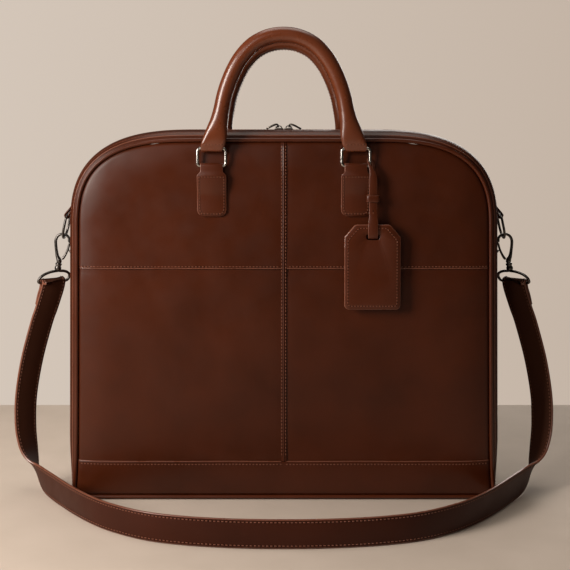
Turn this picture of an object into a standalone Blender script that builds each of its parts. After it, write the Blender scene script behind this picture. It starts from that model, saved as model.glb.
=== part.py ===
"""Zip-round leather garment bag with two grab handles, a shoulder strap and a luggage tag.

X runs across the bag, the front faces -Y, and Z is up with the base on Z = 0.
The back half is the fixed part; the front half folds down from the base's front edge.
"""
import math

import bmesh
import bpy
import numpy as np

for old in list(bpy.data.objects):
    bpy.data.objects.remove(old, do_unlink=True)

# Bag shell, in metres.
HALF_WIDTH = 0.2715
BASE_SPREAD = 0.0040
BASE_FLARE = 0.0050
TOP_Z = 0.4770
BASE_Z = 0.0032
BASE_CORNER = 0.0120
SHOULDER_X = 0.1150
SHOULDER_DROP = 0.1200
SHOULDER_POWER = 2.85
CENTRE_Y = 0.0620
PIPING_Y = 0.0550
PIPING_RADIUS = 0.0026
PANEL_INSET = 0.0032
PANEL_THICK = 0.0020
ROLL_WIDTH = 0.0450
GUSSET_THICK = 0.0018
CROWN = 0.0135
SEAM_Z = 0.3085
BAND_Z = 0.0526
WELT_HALF = 0.0038
GAP = 0.0003
LINING_Y = 0.0505
FOLD_AXIS = (0.0, -0.0550, 0.0040)

# Handles, rings and patches.
RING_X = 0.0940
RING_Y = 0.0664
RING_LOW_Z = 0.4435
RING_HIGH_Z = 0.4662
RING_HALF_WIDTH = 0.0184
RING_WIRE = 0.00165
HANDLE_RADIUS = 0.01025
PATCH_FOOT_Z = 0.3775

# Shoulder strap and its fittings, left side; the right side mirrors them.
SIDE_Y = 0.0180
BAR_X = -0.2975
BAR_Z = 0.3715
D_TILT = math.radians(12.0)
D_HEIGHT = 0.0310
D_RADIUS = 0.0160
D_WIRE = 0.0016
SWING_Z = BAR_Z - (D_HEIGHT - D_RADIUS) * math.cos(D_TILT)
HOOK_TILT = math.radians(10.5)
HOOK_WIRE = 0.0018
STRAP_HALF = 0.0172
STRAP_THICK = 0.0034
LOOP_TURN = math.radians(38.0)
LOOP_BAR = (-0.3200, SIDE_Y, 0.2800)

# Luggage tag.
TAG_X = 0.1155
TAG_TOP_Z = 0.3674
TAG_FOOT_Z = 0.2561
TAG_HALF = 0.0367
TAG_Y = -0.0720
TAG_THICK = 0.0040
SLOT_Z = 0.3520
TAG_STRAP_X = 0.1160

# Zip.
SLIDER_X = 0.0065
ZIP_Z = TOP_Z + CROWN

ROUND6 = [(math.cos(math.tau * i / 6), math.sin(math.tau * i / 6)) for i in range(6)]
ROUND8 = [(math.cos(math.tau * i / 8), math.sin(math.tau * i / 8)) for i in range(8)]
FLAT = [
    (1.0, -0.5), (1.0, 0.5), (0.94, 1.0), (-0.94, 1.0), (-1.0, 0.5), (-1.0, -0.5), (-0.94, -1.0), (0.94, -1.0),
]

MATERIALS = {
    "leather": ((0.235, 0.085, 0.045), 0.42, 0.0),
    "trim_leather": ((0.190, 0.066, 0.036), 0.45, 0.0),
    "strap_leather": ((0.150, 0.055, 0.032), 0.48, 0.0),
    "lining": ((0.120, 0.070, 0.045), 0.85, 0.0),
    "zip_tape": ((0.075, 0.040, 0.028), 0.80, 0.0),
    "zip_metal": ((0.200, 0.185, 0.165), 0.30, 1.0),
    "ring_metal": ((0.720, 0.700, 0.660), 0.18, 1.0),
    "hook_metal": ((0.330, 0.315, 0.290), 0.24, 1.0),
}


def make_material(slot):
    colour, roughness, metallic = MATERIALS[slot]
    material = bpy.data.materials.new(slot)
    material.use_nodes = True
    shader = material.node_tree.nodes["Principled BSDF"]
    shader.inputs["Base Color"].default_value = (*colour, 1.0)
    shader.inputs["Roughness"].default_value = roughness
    shader.inputs["Metallic"].default_value = metallic
    return material


def add_node(name, points, faces, slot, origin=(0.0, 0.0, 0.0)):
    """One named object with its own material and its origin on its joint's axis."""
    origin = np.array(origin)
    mesh = bpy.data.meshes.new(name)
    mesh.from_pydata([tuple(np.array(p) - origin) for p in points], [], faces)
    shell = bmesh.new()
    shell.from_mesh(mesh)
    bmesh.ops.recalc_face_normals(shell, faces=shell.faces)
    shell.to_mesh(mesh)
    shell.free()
    mesh.polygons.foreach_set("use_smooth", [True] * len(mesh.polygons))
    mesh.set_sharp_from_angle(angle=math.radians(40.0))
    node = bpy.data.objects.new(name, mesh)
    node.location = origin
    material = make_material(slot)
    material.name = name + "_material"
    mesh.materials.append(material)
    bpy.context.scene.collection.objects.link(node)
    return node


def unit(vector):
    vector = np.array(vector, dtype=float)
    return vector / np.linalg.norm(vector)


def smooth_path(keys, steps, closed=False):
    """Catmull-Rom curve through rows of numbers."""
    keys = np.array(keys, dtype=float)
    count = len(keys)
    spans = count if closed else count - 1
    rows = []
    for i in range(spans):
        if closed:
            p0, p1, p2, p3 = (keys[(i + k) % count] for k in (-1, 0, 1, 2))
        else:
            p1 = keys[i]
            p2 = keys[i + 1]
            p0 = keys[i - 1] if i > 0 else 2 * p1 - p2
            p3 = keys[i + 2] if i + 2 < count else 2 * p2 - p1
        for k in range(steps):
            t = k / steps
            rows.append(0.5 * (2 * p1 + (p2 - p0) * t + (2 * p0 - 5 * p1 + 4 * p2 - p3) * t * t
                               + (3 * p1 - p0 - 3 * p2 + p3) * t ** 3))
    if not closed:
        rows.append(keys[-1])
    return np.array(rows)


def sweep(path, sides, half_widths, half_thicks, section, closed=False):
    """Vertices and faces of a section carried along a path.

    sides gives the width direction at each point; the section's first
    coordinate is scaled by half_widths and its second by half_thicks.
    """
    path = np.array(path)
    count = len(path)
    points = []
    for i in range(count):
        if closed:
            ahead, behind = path[(i + 1) % count], path[i - 1]
        else:
            ahead, behind = path[min(i + 1, count - 1)], path[max(i - 1, 0)]
        tangent = unit(ahead - behind)
        side = np.array(sides[i], dtype=float)
        side = unit(side - tangent * side.dot(tangent))
        normal = np.cross(tangent, side)
        shape = section[i] if isinstance(section[0], list) else section
        for a, b in shape:
            points.append(path[i] + side * a * half_widths[i] + normal * b * half_thicks[i])
    ring = len(section[0]) if isinstance(section[0], list) else len(section)
    faces = []
    for i in range(count if closed else count - 1):
        j = (i + 1) % count
        for k in range(ring):
            m = (k + 1) % ring
            faces.append((i * ring + k, i * ring + m, j * ring + m, j * ring + k))
    if not closed:
        faces.append(tuple(reversed(range(ring))))
        faces.append(tuple((count - 1) * ring + k for k in range(ring)))
    return points, faces


def wire(path, radius, closed=False, section=None, side=(0.0, 1.0, 0.0)):
    """A round wire; side must never run along the path."""
    count = len(path)
    radii = radius if isinstance(radius, (list, np.ndarray)) else [radius] * count
    return sweep(path, [side] * count, radii, radii, section or ROUND8, closed)


def mirrored(points):
    return [(-p[0], p[1], p[2]) for p in points]


def backward(points):
    return [(p[0], -p[1], p[2]) for p in points]


# ---------------------------------------------------------------- bag outline

def side_x(z):
    """Half width of the bag at a height, a little wider towards the base."""
    spread = BASE_SPREAD * (1.0 - z / TOP_Z)
    return HALF_WIDTH + spread + BASE_FLARE * math.exp(-z / 0.030)


def right_outline():
    """Right half of the piping line from the base centre up to the top centre."""
    corner_x = side_x(BASE_Z + BASE_CORNER) - BASE_CORNER
    points = [(corner_x * t, BASE_Z) for t in (0.0, 0.3, 0.6, 0.85, 0.97)]
    for k in range(1, 5):
        angle = math.radians(-90.0 + 90.0 * k / 5)
        points.append((corner_x + BASE_CORNER * math.cos(angle),
                       BASE_Z + BASE_CORNER + BASE_CORNER * math.sin(angle)))
    low = BASE_Z + BASE_CORNER
    high = TOP_Z - SHOULDER_DROP
    for t in (0.0, 0.05, 0.12, 0.25, 0.42, 0.60, 0.80):
        z = low + (high - low) * t
        points.append((side_x(z), z))
    wide = side_x(high) - SHOULDER_X
    for k in range(13):
        angle = math.radians(90.0 * k / 12)
        across = max(math.cos(angle), 0.0) ** (2.0 / SHOULDER_POWER)
        up = math.sin(angle) ** (2.0 / SHOULDER_POWER)
        points.append((SHOULDER_X + wide * across, high + SHOULDER_DROP * up))
    points.extend([(0.077, TOP_Z), (0.038, TOP_Z), (0.0, TOP_Z)])
    return points


RIGHT = right_outline()
OUTLINE = np.array(RIGHT + [(-x, z) for x, z in reversed(RIGHT[1:-1])])
COUNT = len(OUTLINE)
FIRST_SIDE = 9
LAST_SIDE = COUNT - 9


def outward(i):
    step = OUTLINE[(i + 1) % COUNT] - OUTLINE[i - 1]
    return unit((step[1], -step[0]))


NORMALS = np.array([outward(i) for i in range(COUNT)])


def offset_outline(distance):
    return OUTLINE + NORMALS * distance


def edge_distance(x, z):
    """Distance from a point to the piping line."""
    nearest = 1.0
    for i in range(COUNT):
        a = OUTLINE[i]
        b = OUTLINE[(i + 1) % COUNT]
        span = b - a
        t = min(max(np.dot((x - a[0], z - a[1]), span) / span.dot(span), 0.0), 1.0)
        nearest = min(nearest, math.hypot(x - a[0] - span[0] * t, z - a[1] - span[1] * t))
    return nearest


def face_y(x, z):
    """Depth of the panel's outer face, rolled back towards the piping."""
    t = min((edge_distance(x, z) - PANEL_INSET) / ROLL_WIDTH, 1.0)
    lift = 1.0 - (1.0 - max(t, 0.0)) ** 2.2
    return PIPING_Y + 0.0005 + (CENTRE_Y - PIPING_Y - 0.0005) * lift


def resample(line, fractions):
    line = np.array(line)
    lengths = np.concatenate(([0.0], np.cumsum(np.linalg.norm(np.diff(line, axis=0), axis=1))))
    targets = np.array(fractions) * lengths[-1]
    return np.array([[np.interp(t, lengths, line[:, k]) for k in range(2)] for t in targets])


def coons(bottom, right, top, left):
    """Grid of flat points between four boundary lines."""
    columns = len(bottom)
    rows = len(left)
    grid = np.zeros((rows, columns, 2))
    for j in range(rows):
        v = j / (rows - 1)
        for i in range(columns):
            u = i / (columns - 1)
            grid[j, i] = ((1 - v) * bottom[i] + v * top[i] + (1 - u) * left[j] + u * right[j]
                          - (1 - u) * (1 - v) * bottom[0] - u * (1 - v) * bottom[-1]
                          - (1 - u) * v * top[0] - u * v * top[-1])
    return grid


def thick_grid(grid, thick, sign, proud=0.0):
    """A closed sheet lying on the panel face over a grid of points."""
    rows, columns = grid.shape[:2]
    points = []
    for lift in (0.0, -thick):
        for j in range(rows):
            for i in range(columns):
                x, z = grid[j, i]
                points.append((x, sign * (face_y(x, z) + proud + lift), z))
    faces = []
    back = rows * columns
    for j in range(rows - 1):
        for i in range(columns - 1):
            a = j * columns + i
            quad = (a, a + 1, a + columns + 1, a + columns)
            faces.append(quad)
            faces.append(tuple(back + k for k in reversed(quad)))
    rim = [i for i in range(columns)]
    rim += [j * columns + columns - 1 for j in range(1, rows)]
    rim += [(rows - 1) * columns + i for i in range(columns - 2, -1, -1)]
    rim += [j * columns for j in range(rows - 2, 0, -1)]
    for k, a in enumerate(rim):
        b = rim[(k + 1) % len(rim)]
        faces.append((b, a, a + back, b + back))
    return points, faces


def eased(count, power=1.5):
    """Fractions that crowd towards one end, where the panel rolls over."""
    return [1.0 - (1.0 - k / (count - 1)) ** power for k in range(count)]


def even(count):
    return [k / (count - 1) for k in range(count)]


def cut_outline(inset, low_z, high_index=None):
    """Right side of an inset outline from a height up to an index or the top centre."""
    line = offset_outline(-inset)[:len(RIGHT)]
    line[-1, 0] = 0.0
    start = next(i for i in range(5, len(line)) if line[i, 1] > low_z)
    a, b = line[start - 1], line[start]
    t = (low_z - a[1]) / (b[1] - a[1])
    first = a + (b - a) * t
    stop = len(line) if high_index is None else high_index + 1
    return np.vstack(([first], line[start:stop]))


CORNER_INDEX = 9 + 7 + 6


def upper_panel(inner_x):
    """Grid for the panel above the seam, from the centre out to the piping."""
    side = cut_outline(PANEL_INSET, SEAM_Z + GAP, CORNER_INDEX)
    line = offset_outline(-PANEL_INSET)[:len(RIGHT)]
    over = [p for p in line[CORNER_INDEX:] if p[0] > inner_x + 0.002][::-1]
    over = np.vstack(([(inner_x, line[-1, 1])], over))
    across, up = eased(10), eased(9)
    bottom = resample([(inner_x, SEAM_Z + GAP), side[0]], across)
    left = resample([(inner_x, SEAM_Z + GAP), (inner_x, line[-1, 1])], up)
    return coons(bottom, resample(side, up), resample(over, across), left)


def lower_panel(inner_x):
    """Grid for the panel between the base band and the seam."""
    low = BAND_Z + GAP
    high = SEAM_Z - GAP
    side = cut_outline(PANEL_INSET, low)
    side = np.array([p for p in side if p[1] < high])
    side = np.vstack((side, [(np.interp(high, [side[-1][1], TOP_Z - SHOULDER_DROP],
                                        [side[-1][0], side_x(TOP_Z - SHOULDER_DROP) - PANEL_INSET]), high)]))
    across, up = eased(10), even(7)
    bottom = resample([(inner_x, low), side[0]], across)
    top = resample([(inner_x, high), side[-1]], across)
    left = resample([(inner_x, low), (inner_x, high)], up)
    return coons(bottom, resample(side, up), top, left)


def band_panel():
    """Grid for the base band, the full width of the bag."""
    high = BAND_Z - GAP
    line = offset_outline(-PANEL_INSET)
    right = [p for p in line[7:len(RIGHT)] if p[1] < high - 0.002]
    right = np.array(right + [(side_x(high) - PANEL_INSET, high)])
    floor = np.array([(0.0, line[0, 1])] + [tuple(p) for p in line[1:8]])
    across = [1.0 - (1.0 - k / 8) ** 1.6 for k in range(9)]
    up = [0.0, 0.18, 0.4, 0.68, 1.0]
    half_low = resample(floor, across)
    half_high = resample([(0.0, high), tuple(right[-1])], across)
    flip = np.array([-1.0, 1.0])
    bottom = np.vstack(([p * flip for p in half_low[:0:-1]], half_low))
    top = np.vstack(([p * flip for p in half_high[:0:-1]], half_high))
    side = resample(right, up)
    return coons(bottom, side, top, side * flip)


# ------------------------------------------------------------ swept shell parts

def crown_at(z):
    """How far the gusset bulges beyond the piping line; it flattens near the base."""
    t = min(z / 0.090, 1.0)
    return 0.0030 + (CROWN - 0.0030) * (1.0 - (1.0 - t) ** 2)


def shell_strip(profile, sign):
    """A strip round the sides and top; profile is a closed loop of (y, offset of crown, extra)."""
    points = []
    indices = range(FIRST_SIDE, LAST_SIDE + 1)
    for i in indices:
        x, z = OUTLINE[i]
        crown = crown_at(z)
        for y, share, extra in profile:
            distance = share * crown + extra
            points.append((x + NORMALS[i][0] * distance, sign * y, z + NORMALS[i][1] * distance))
    size = len(profile)
    count = len(indices)
    faces = []
    for i in range(count - 1):
        for k in range(size):
            m = (k + 1) % size
            faces.append((i * size + k, i * size + m, (i + 1) * size + m, (i + 1) * size + k))
    faces.append(tuple(reversed(range(size))))
    faces.append(tuple((count - 1) * size + k for k in range(size)))
    return points, faces


GUSSET_LINE = [(0.0521, 0.10), (0.0490, 0.46), (0.0420, 0.80), (0.0300, 0.98), (0.0180, 1.00), (0.0062, 0.96)]
GUSSET_PROFILE = [(y, share, 0.0) for y, share in GUSSET_LINE]
GUSSET_PROFILE += [(y, share, -GUSSET_THICK) for y, share in reversed(GUSSET_LINE)]
TAPE_PROFILE = [
    (0.0110, 0.97, -GUSSET_THICK - GAP), (0.0059, 0.96, -GUSSET_THICK - GAP), (0.0045, 0.96, -0.0010),
    (0.0003, 0.96, -0.0006), (0.0003, 0.96, -0.0026), (0.0110, 0.97, -GUSSET_THICK - GAP - 0.0010),
]


def closed_tube(sign):
    """The piping cord all round the outline."""
    path = [(x, sign * PIPING_Y, z) for x, z in OUTLINE]
    return wire(path, PIPING_RADIUS, closed=True, section=ROUND6)


def lining_tray(sign):
    """The fabric tray inside one half: a plate with a wall all round it."""
    outer = offset_outline(-0.0046)
    inner = offset_outline(-0.0056)
    outer[:, 1] = np.maximum(outer[:, 1], 0.0075)
    inner[:, 1] = np.maximum(inner[:, 1], 0.0085)
    rings = [(outer, LINING_Y), (outer, 0.0040), (inner, 0.0040), (inner, LINING_Y - 0.0010)]
    points = []
    for line, y in rings:
        points.extend((x, sign * y, z) for x, z in line)
    faces = []
    for r in range(3):
        for i in range(COUNT):
            j = (i + 1) % COUNT
            faces.append((r * COUNT + i, r * COUNT + j, (r + 1) * COUNT + j, (r + 1) * COUNT + i))
    for r, y in ((0, LINING_Y), (3, LINING_Y - 0.0010)):
        hub = len(points)
        points.append((0.0, sign * y, 0.24))
        for i in range(COUNT):
            j = (i + 1) % COUNT
            a, b = r * COUNT + i, r * COUNT + j
            faces.append((hub, b, a) if r == 0 else (hub, a, b))
    return points, faces


def base_panel():
    """The flat base, from one piping line to the other."""
    half_x = side_x(0.0) - 0.004
    outer = 0.0516
    points = []
    for z in (0.0, 0.0022):
        for x, y in ((half_x, outer - 0.010), (half_x - 0.010, outer), (-half_x + 0.010, outer),
                     (-half_x, outer - 0.010), (-half_x, -outer + 0.010), (-half_x + 0.010, -outer),
                     (half_x - 0.010, -outer), (half_x, -outer + 0.010)):
            points.append((x, y, z))
    faces = [tuple(range(8)), tuple(range(15, 7, -1))]
    for k in range(8):
        m = (k + 1) % 8
        faces.append((k, m, m + 8, k + 8))
    return points, faces


for label, sign in (("front", -1), ("back", 1)):
    origin = FOLD_AXIS if sign < 0 else (0.0, 0.0, 0.0)
    inner = WELT_HALF + GAP
    for part, grid in (("upper", upper_panel(inner)), ("lower", lower_panel(inner))):
        points, faces = thick_grid(grid, PANEL_THICK, sign)
        add_node(f"{label}_{part}_panel_right", points, faces, "leather", origin)
        add_node(f"{label}_{part}_panel_left", mirrored(points), faces, "leather", origin)
    heights = resample([(0.0, BAND_Z + GAP), (0.0, TOP_Z - PANEL_INSET)],
                       [0.0, 0.3, 0.6, 0.85, 0.92, 0.97, 1.0])
    strip = np.array([[(x, z) for x in (-WELT_HALF, 0.0, WELT_HALF)] for _, z in heights])
    points, faces = thick_grid(strip, PANEL_THICK, sign, 0.0006)
    add_node(f"{label}_centre_welt", points, faces, "trim_leather", origin)
    points, faces = thick_grid(band_panel(), PANEL_THICK, sign)
    add_node(f"{label}_base_band", points, faces, "leather", origin)
    points, faces = closed_tube(sign)
    add_node(f"{label}_piping", points, faces, "trim_leather", origin)
    points, faces = shell_strip(GUSSET_PROFILE, sign)
    add_node(f"{label}_gusset", points, faces, "leather", origin)
    points, faces = shell_strip(TAPE_PROFILE, sign)
    add_node(f"{label}_zip_tape", points, faces, "zip_tape", origin)
    points, faces = lining_tray(sign)
    add_node(f"{label}_lining", points, faces, "lining", origin)

points, faces = base_panel()
add_node("base_panel", points, faces, "trim_leather")

# ------------------------------------------------------ rings, patches, handles


def ring_path(centre_x, y):
    """Rounded rectangle through the middle of the ring's wire."""
    low, high, half, bend = RING_LOW_Z, RING_HIGH_Z, RING_HALF_WIDTH, 0.0036
    corners = [(half - bend, low + bend, -90), (half - bend, high - bend, 0),
               (-half + bend, high - bend, 90), (-half + bend, low + bend, 180)]
    path = []
    for x, z, start in corners:
        for k in range(5):
            angle = math.radians(start + 90.0 * k / 4)
            path.append((centre_x + x + bend * math.cos(angle), y, z + bend * math.sin(angle)))
    return path


def patch_sheet(centre_x):
    """Leather patch: its front leg, the turn over the ring's lower bar, and its short back leg."""
    turn = RING_WIRE + GAP + 0.0009
    front = RING_Y + turn
    keys = [(0.0640, PATCH_FOOT_Z), (0.0640, 0.3810), (0.0640, 0.3860), (0.0641, 0.4000), (0.0648, 0.4080),
            (0.0672, 0.4180), (front - 0.0002, 0.4290), (front, 0.4370), (front, RING_LOW_Z)]
    for k in range(1, 8):
        angle = math.pi * k / 8
        keys.append((RING_Y + turn * math.cos(angle), RING_LOW_Z + turn * math.sin(angle)))
    keys += [(RING_Y - turn, RING_LOW_Z), (0.0637, 0.4350), (0.0640, 0.4290), (0.0640, 0.4200)]
    path = [(centre_x, -y, z) for y, z in keys]
    widths = []
    for n, (_, z) in enumerate(keys):
        flare = min(max((0.4310 - z) / 0.0150, 0.0), 1.0)
        widths.append(0.0135 + (0.0053 * flare if n < 9 else 0.0))
    widths[0] -= 0.0040
    widths[1] -= 0.0006
    return sweep(path, [(1.0, 0.0, 0.0)] * len(path), widths, [0.0009] * len(path), FLAT)


def handle_body(y):
    """Rolled handle whose flattened ends wrap round the rings' upper bars."""
    turn = RING_WIRE + GAP + 0.0012
    keys = []
    for height, depth in ((0.0165, -turn), (0.0060, -turn), (0.0, -turn)):
        keys.append((-RING_X, depth, RING_HIGH_Z + height, 0.0136, 0.0012, 1.0))
    for k in range(1, 6):
        angle = math.pi * k / 6
        depth, height = -turn * math.cos(angle), RING_HIGH_Z - turn * math.sin(angle)
        keys.append((-RING_X, depth, height, 0.0136, 0.0012, 1.0))
    keys.append((-RING_X, turn, RING_HIGH_Z, 0.0140, 0.0012, 1.0))
    keys.append((-RING_X, turn, RING_HIGH_Z + 0.0070, 0.0165, 0.0013, 1.0))
    keys.append((-0.0940, 0.0034, 0.4805, 0.0150, 0.0022, 0.7))
    keys.append((-0.0925, 0.0022, 0.4860, 0.0122, 0.0052, 0.4))
    keys.append((-0.0905, 0.0008, 0.4920, 0.0105, 0.0086, 0.1))
    for x, z in ((-0.0875, 0.5000), (-0.0810, 0.5200), (-0.0735, 0.5460), (-0.0645, 0.5690),
                 (-0.0540, 0.5860), (-0.0400, 0.6010), (-0.0210, 0.6108)):
        keys.append((x, 0.0, z, HANDLE_RADIUS, HANDLE_RADIUS, 0.0))
    keys.append((0.0, 0.0, 0.6135, HANDLE_RADIUS, HANDLE_RADIUS, 0.0))
    keys += [(-x, depth, z, w, t, f) for x, depth, z, w, t, f in reversed(keys[:-1])]
    path, sides, sections = [], [], []
    for k, (x, depth, z, _, _, flat) in enumerate(keys):
        path.append((x, y + math.copysign(depth, y * depth) if depth else y, z))
        shape = []
        for i in range(12):
            angle = math.tau * i / 12
            a, b = math.cos(angle), math.sin(angle)
            scale = 1.0 / max(abs(a), abs(b)) ** 0.85
            shape.append((a * (1 - flat + flat * scale), b * (1 - flat + flat * scale)))
        sections.append(shape)
    count = len(keys)
    path = np.array(path)
    for k in range(count):
        if keys[k][5] >= 0.7:
            sides.append((1.0, 0.0, 0.0) if k < count / 2 else (-1.0, 0.0, 0.0))
        else:
            step = path[min(k + 1, count - 1)] - path[k - 1]
            sides.append(np.cross((0.0, math.copysign(1.0, y), 0.0), step) * math.copysign(1.0, y))
    widths = [key[3] for key in keys]
    thicks = [key[4] for key in keys]
    return sweep(path, sides, widths, thicks, sections)


for label, sign in (("front", -1), ("back", 1)):
    shell_origin = FOLD_AXIS if sign < 0 else (0.0, 0.0, 0.0)
    for side, centre_x in (("left", -RING_X), ("right", RING_X)):
        points, faces = wire(ring_path(centre_x, sign * RING_Y), RING_WIRE, closed=True)
        add_node(f"{label}_ring_{side}", points, faces, "ring_metal", (0.0, sign * RING_Y, RING_LOW_Z))
        points, faces = patch_sheet(centre_x)
        if sign > 0:
            points = backward(points)
        add_node(f"{label}_patch_{side}", points, faces, "trim_leather", shell_origin)
    points, faces = handle_body(sign * RING_Y)
    add_node(f"{label}_handle", points, faces, "trim_leather", (0.0, sign * RING_Y, RING_HIGH_Z))

# ------------------------------------------------------------------ luggage tag


def tag_outline():
    """Tag seen from the front, with cut top corners and small rounded foot corners."""
    foot = 0.0060
    points = [(TAG_HALF, TAG_TOP_Z - 0.0165), (TAG_HALF, 0.3000), (TAG_HALF, TAG_FOOT_Z + foot)]
    points += [(TAG_HALF - foot * 0.3, TAG_FOOT_Z + foot * 0.3), (TAG_HALF - foot, TAG_FOOT_Z)]
    points += [(0.0, TAG_FOOT_Z), (-TAG_HALF + foot, TAG_FOOT_Z)]
    points += [(-TAG_HALF + foot * 0.3, TAG_FOOT_Z + foot * 0.3), (-TAG_HALF, TAG_FOOT_Z + foot)]
    points += [(-TAG_HALF, 0.3000), (-TAG_HALF, TAG_TOP_Z - 0.0165), (-0.0215, TAG_TOP_Z)]
    points += [(0.0, TAG_TOP_Z), (0.0215, TAG_TOP_Z)]
    return [(TAG_X + x, z) for x, z in points]


def tag_plate():
    """Flat tag with a slot for its strap."""
    outer = tag_outline()
    inner = []
    for x, z in outer:
        angle = math.atan2((z - SLOT_Z) * 0.30, x - TAG_STRAP_X)
        reach = 1.0 / max(abs(math.cos(angle)) / 0.0085, abs(math.sin(angle)) / 0.0044)
        inner.append((TAG_STRAP_X + reach * math.cos(angle), SLOT_Z + reach * math.sin(angle)))
    count = len(outer)
    points = []
    for y in (TAG_Y - TAG_THICK / 2, TAG_Y + TAG_THICK / 2):
        points.extend((x, y, z) for x, z in outer)
        points.extend((x, y, z) for x, z in inner)
    faces = []
    back = 2 * count
    for i in range(count):
        j = (i + 1) % count
        faces.append((i, j, count + j, count + i))
        faces.append((back + i, back + count + i, back + count + j, back + j))
        faces.append((i, back + i, back + j, j))
        faces.append((count + i, count + j, back + count + j, back + count + i))
    return points, faces


def tag_strap():
    """Closed strap: thin where it passes round the ring, flat where it carries the tag."""
    x = TAG_STRAP_X
    keys = [
        (x, -0.0730, 0.4280, 0.0048, 1.0, 0.0, 0.0), (x, -0.0730, 0.4100, 0.0050, 1.0, 0.0, 0.0),
        (x, -0.0730, 0.3900, 0.0050, 1.0, 0.0, 0.0), (x, -0.0738, 0.3780, 0.0050, 1.0, 0.0, 0.0),
        (x, -0.0755, 0.3690, 0.0050, 1.0, 0.0, 0.0), (x, -0.0756, 0.3570, 0.0050, 1.0, 0.0, 0.0),
        (x, -0.0745, 0.3508, 0.0050, 1.0, 0.0, 0.0), (x, -0.0720, 0.3494, 0.0050, 1.0, 0.0, 0.0),
        (x, -0.0695, 0.3508, 0.0050, 1.0, 0.0, 0.0), (x, -0.0684, 0.3570, 0.0050, 1.0, 0.0, 0.0),
        (x, -0.0685, 0.3690, 0.0050, 1.0, 0.0, 0.0), (x, -0.0702, 0.3780, 0.0050, 1.0, 0.0, 0.0),
        (x, -0.0710, 0.3900, 0.0050, 1.0, 0.0, 0.0), (x, -0.0710, 0.4100, 0.0050, 1.0, 0.0, 0.0),
        (x, -0.0708, 0.4260, 0.0044, 1.0, 0.0, 0.0), (0.1166, -0.0686, 0.4380, 0.0022, 1.0, 0.0, 0.1),
        (0.1167, -0.0652, 0.4455, 0.0010, 0.8, 0.2, 0.5), (0.1136, -0.0627, 0.4505, 0.0009, 0.3, 0.3, 0.9),
        (0.1095, -0.0640, 0.4520, 0.0009, 0.0, 0.1, 1.0), (0.1090, -0.0670, 0.4505, 0.0009, 0.5, 0.0, 0.9),
        (0.1104, -0.0702, 0.4465, 0.0010, 0.8, 0.1, 0.5), (0.1140, -0.0722, 0.4380, 0.0024, 1.0, 0.0, 0.1),
    ]
    rows = np.array(keys)
    count = len(rows)
    return sweep(rows[:, :3], rows[:, 4:7], rows[:, 3], [0.0007] * count, FLAT, closed=True)


def tag_keeper():
    """Small band round both legs of the tag strap."""
    half_x, half_y = 0.0062, 0.0030
    path = [(TAG_STRAP_X + a * half_x, -0.0720 + b * half_y, 0.4010)
            for a, b in ((1, -0.6), (1, 0.6), (0.9, 1), (0, 1), (-0.9, 1), (-1, 0.6),
                         (-1, -0.6), (-0.9, -1), (0, -1), (0.9, -1))]
    return sweep(path, [(0.0, 0.0, 1.0)] * 10, [0.0042] * 10, [0.0005] * 10, FLAT, closed=True)


TAG_AXIS = (0.1121, -RING_Y, 0.4480)
points, faces = tag_strap()
add_node("tag_strap", points, faces, "strap_leather", TAG_AXIS)
points, faces = tag_keeper()
add_node("tag_keeper", points, faces, "strap_leather", TAG_AXIS)
points, faces = tag_plate()
add_node("tag_body", points, faces, "trim_leather", (TAG_STRAP_X, TAG_Y, SLOT_Z + 0.0025))

# --------------------------------------------------------------------- zip pulls


def slider_body(sign):
    """Zip slider riding on the chain, with a raised bridge for its pull."""
    centre = sign * SLIDER_X
    low = ZIP_Z - 0.0003
    rows = [(-0.0055, 0.0026, 0.0009), (-0.0040, 0.0040, 0.0011), (0.0, 0.0044, 0.0012),
            (0.0040, 0.0036, 0.0011), (0.0055, 0.0024, 0.0009)]
    path = [(centre + x, 0.0, low + 0.0012) for x, _, _ in rows]
    return sweep(path, [(0.0, 1.0, 0.0)] * 5, [r[1] for r in rows], [r[2] for r in rows], FLAT)


def slider_bridge(sign):
    """Arch over the slider that the pull's eye turns on."""
    centre = sign * SLIDER_X
    low = ZIP_Z + 0.0026
    path = []
    for k in range(7):
        angle = math.pi * k / 6
        path.append((centre - 0.0036 * math.cos(angle), 0.0, low + 0.0026 * math.sin(angle)))
    return wire(path, 0.0006)


def pull_tab(sign):
    """Flat pull with a narrow eye end, lying outwards over the gusset."""
    height = ZIP_Z + 0.0027
    path, widths = [], []
    for step, half in ((0.0057, 0.0018), (0.0077, 0.0026), (0.0102, 0.0035), (0.0142, 0.0040), (0.0177, 0.0038),
                       (0.0197, 0.0026)):
        path.append((sign * (SLIDER_X + step), 0.0, height))
        widths.append(half)
    return sweep(path, [(0.0, 1.0, 0.0)] * 6, widths, [0.0006] * 6, FLAT)


def pull_eye(sign):
    """Wire eye that joins the pull to the slider's bridge."""
    reach = 0.0024
    path = []
    for k in range(10):
        angle = math.tau * k / 10
        across = SLIDER_X + reach + reach * math.cos(angle)
        path.append((sign * across, 0.0022 * math.sin(angle), ZIP_Z + 0.0035))
    return wire(path, 0.0005, closed=True, side=(0.0, 0.0, 1.0))


for side, sign in (("left", -1), ("right", 1)):
    centre = (sign * SLIDER_X, 0.0, ZIP_Z)
    hinge = (sign * SLIDER_X, 0.0, ZIP_Z + 0.0035)
    points, faces = slider_body(sign)
    add_node(f"zip_slider_{side}", points, faces, "zip_metal", centre)
    points, faces = slider_bridge(sign)
    add_node(f"zip_bridge_{side}", points, faces, "zip_metal", centre)
    points, faces = pull_tab(sign)
    add_node(f"zip_pull_{side}", points, faces, "zip_metal", hinge)
    points, faces = pull_eye(sign)
    add_node(f"zip_eye_{side}", points, faces, "zip_metal", hinge)

# -------------------------------------------------- D-rings, hooks and the strap


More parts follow.
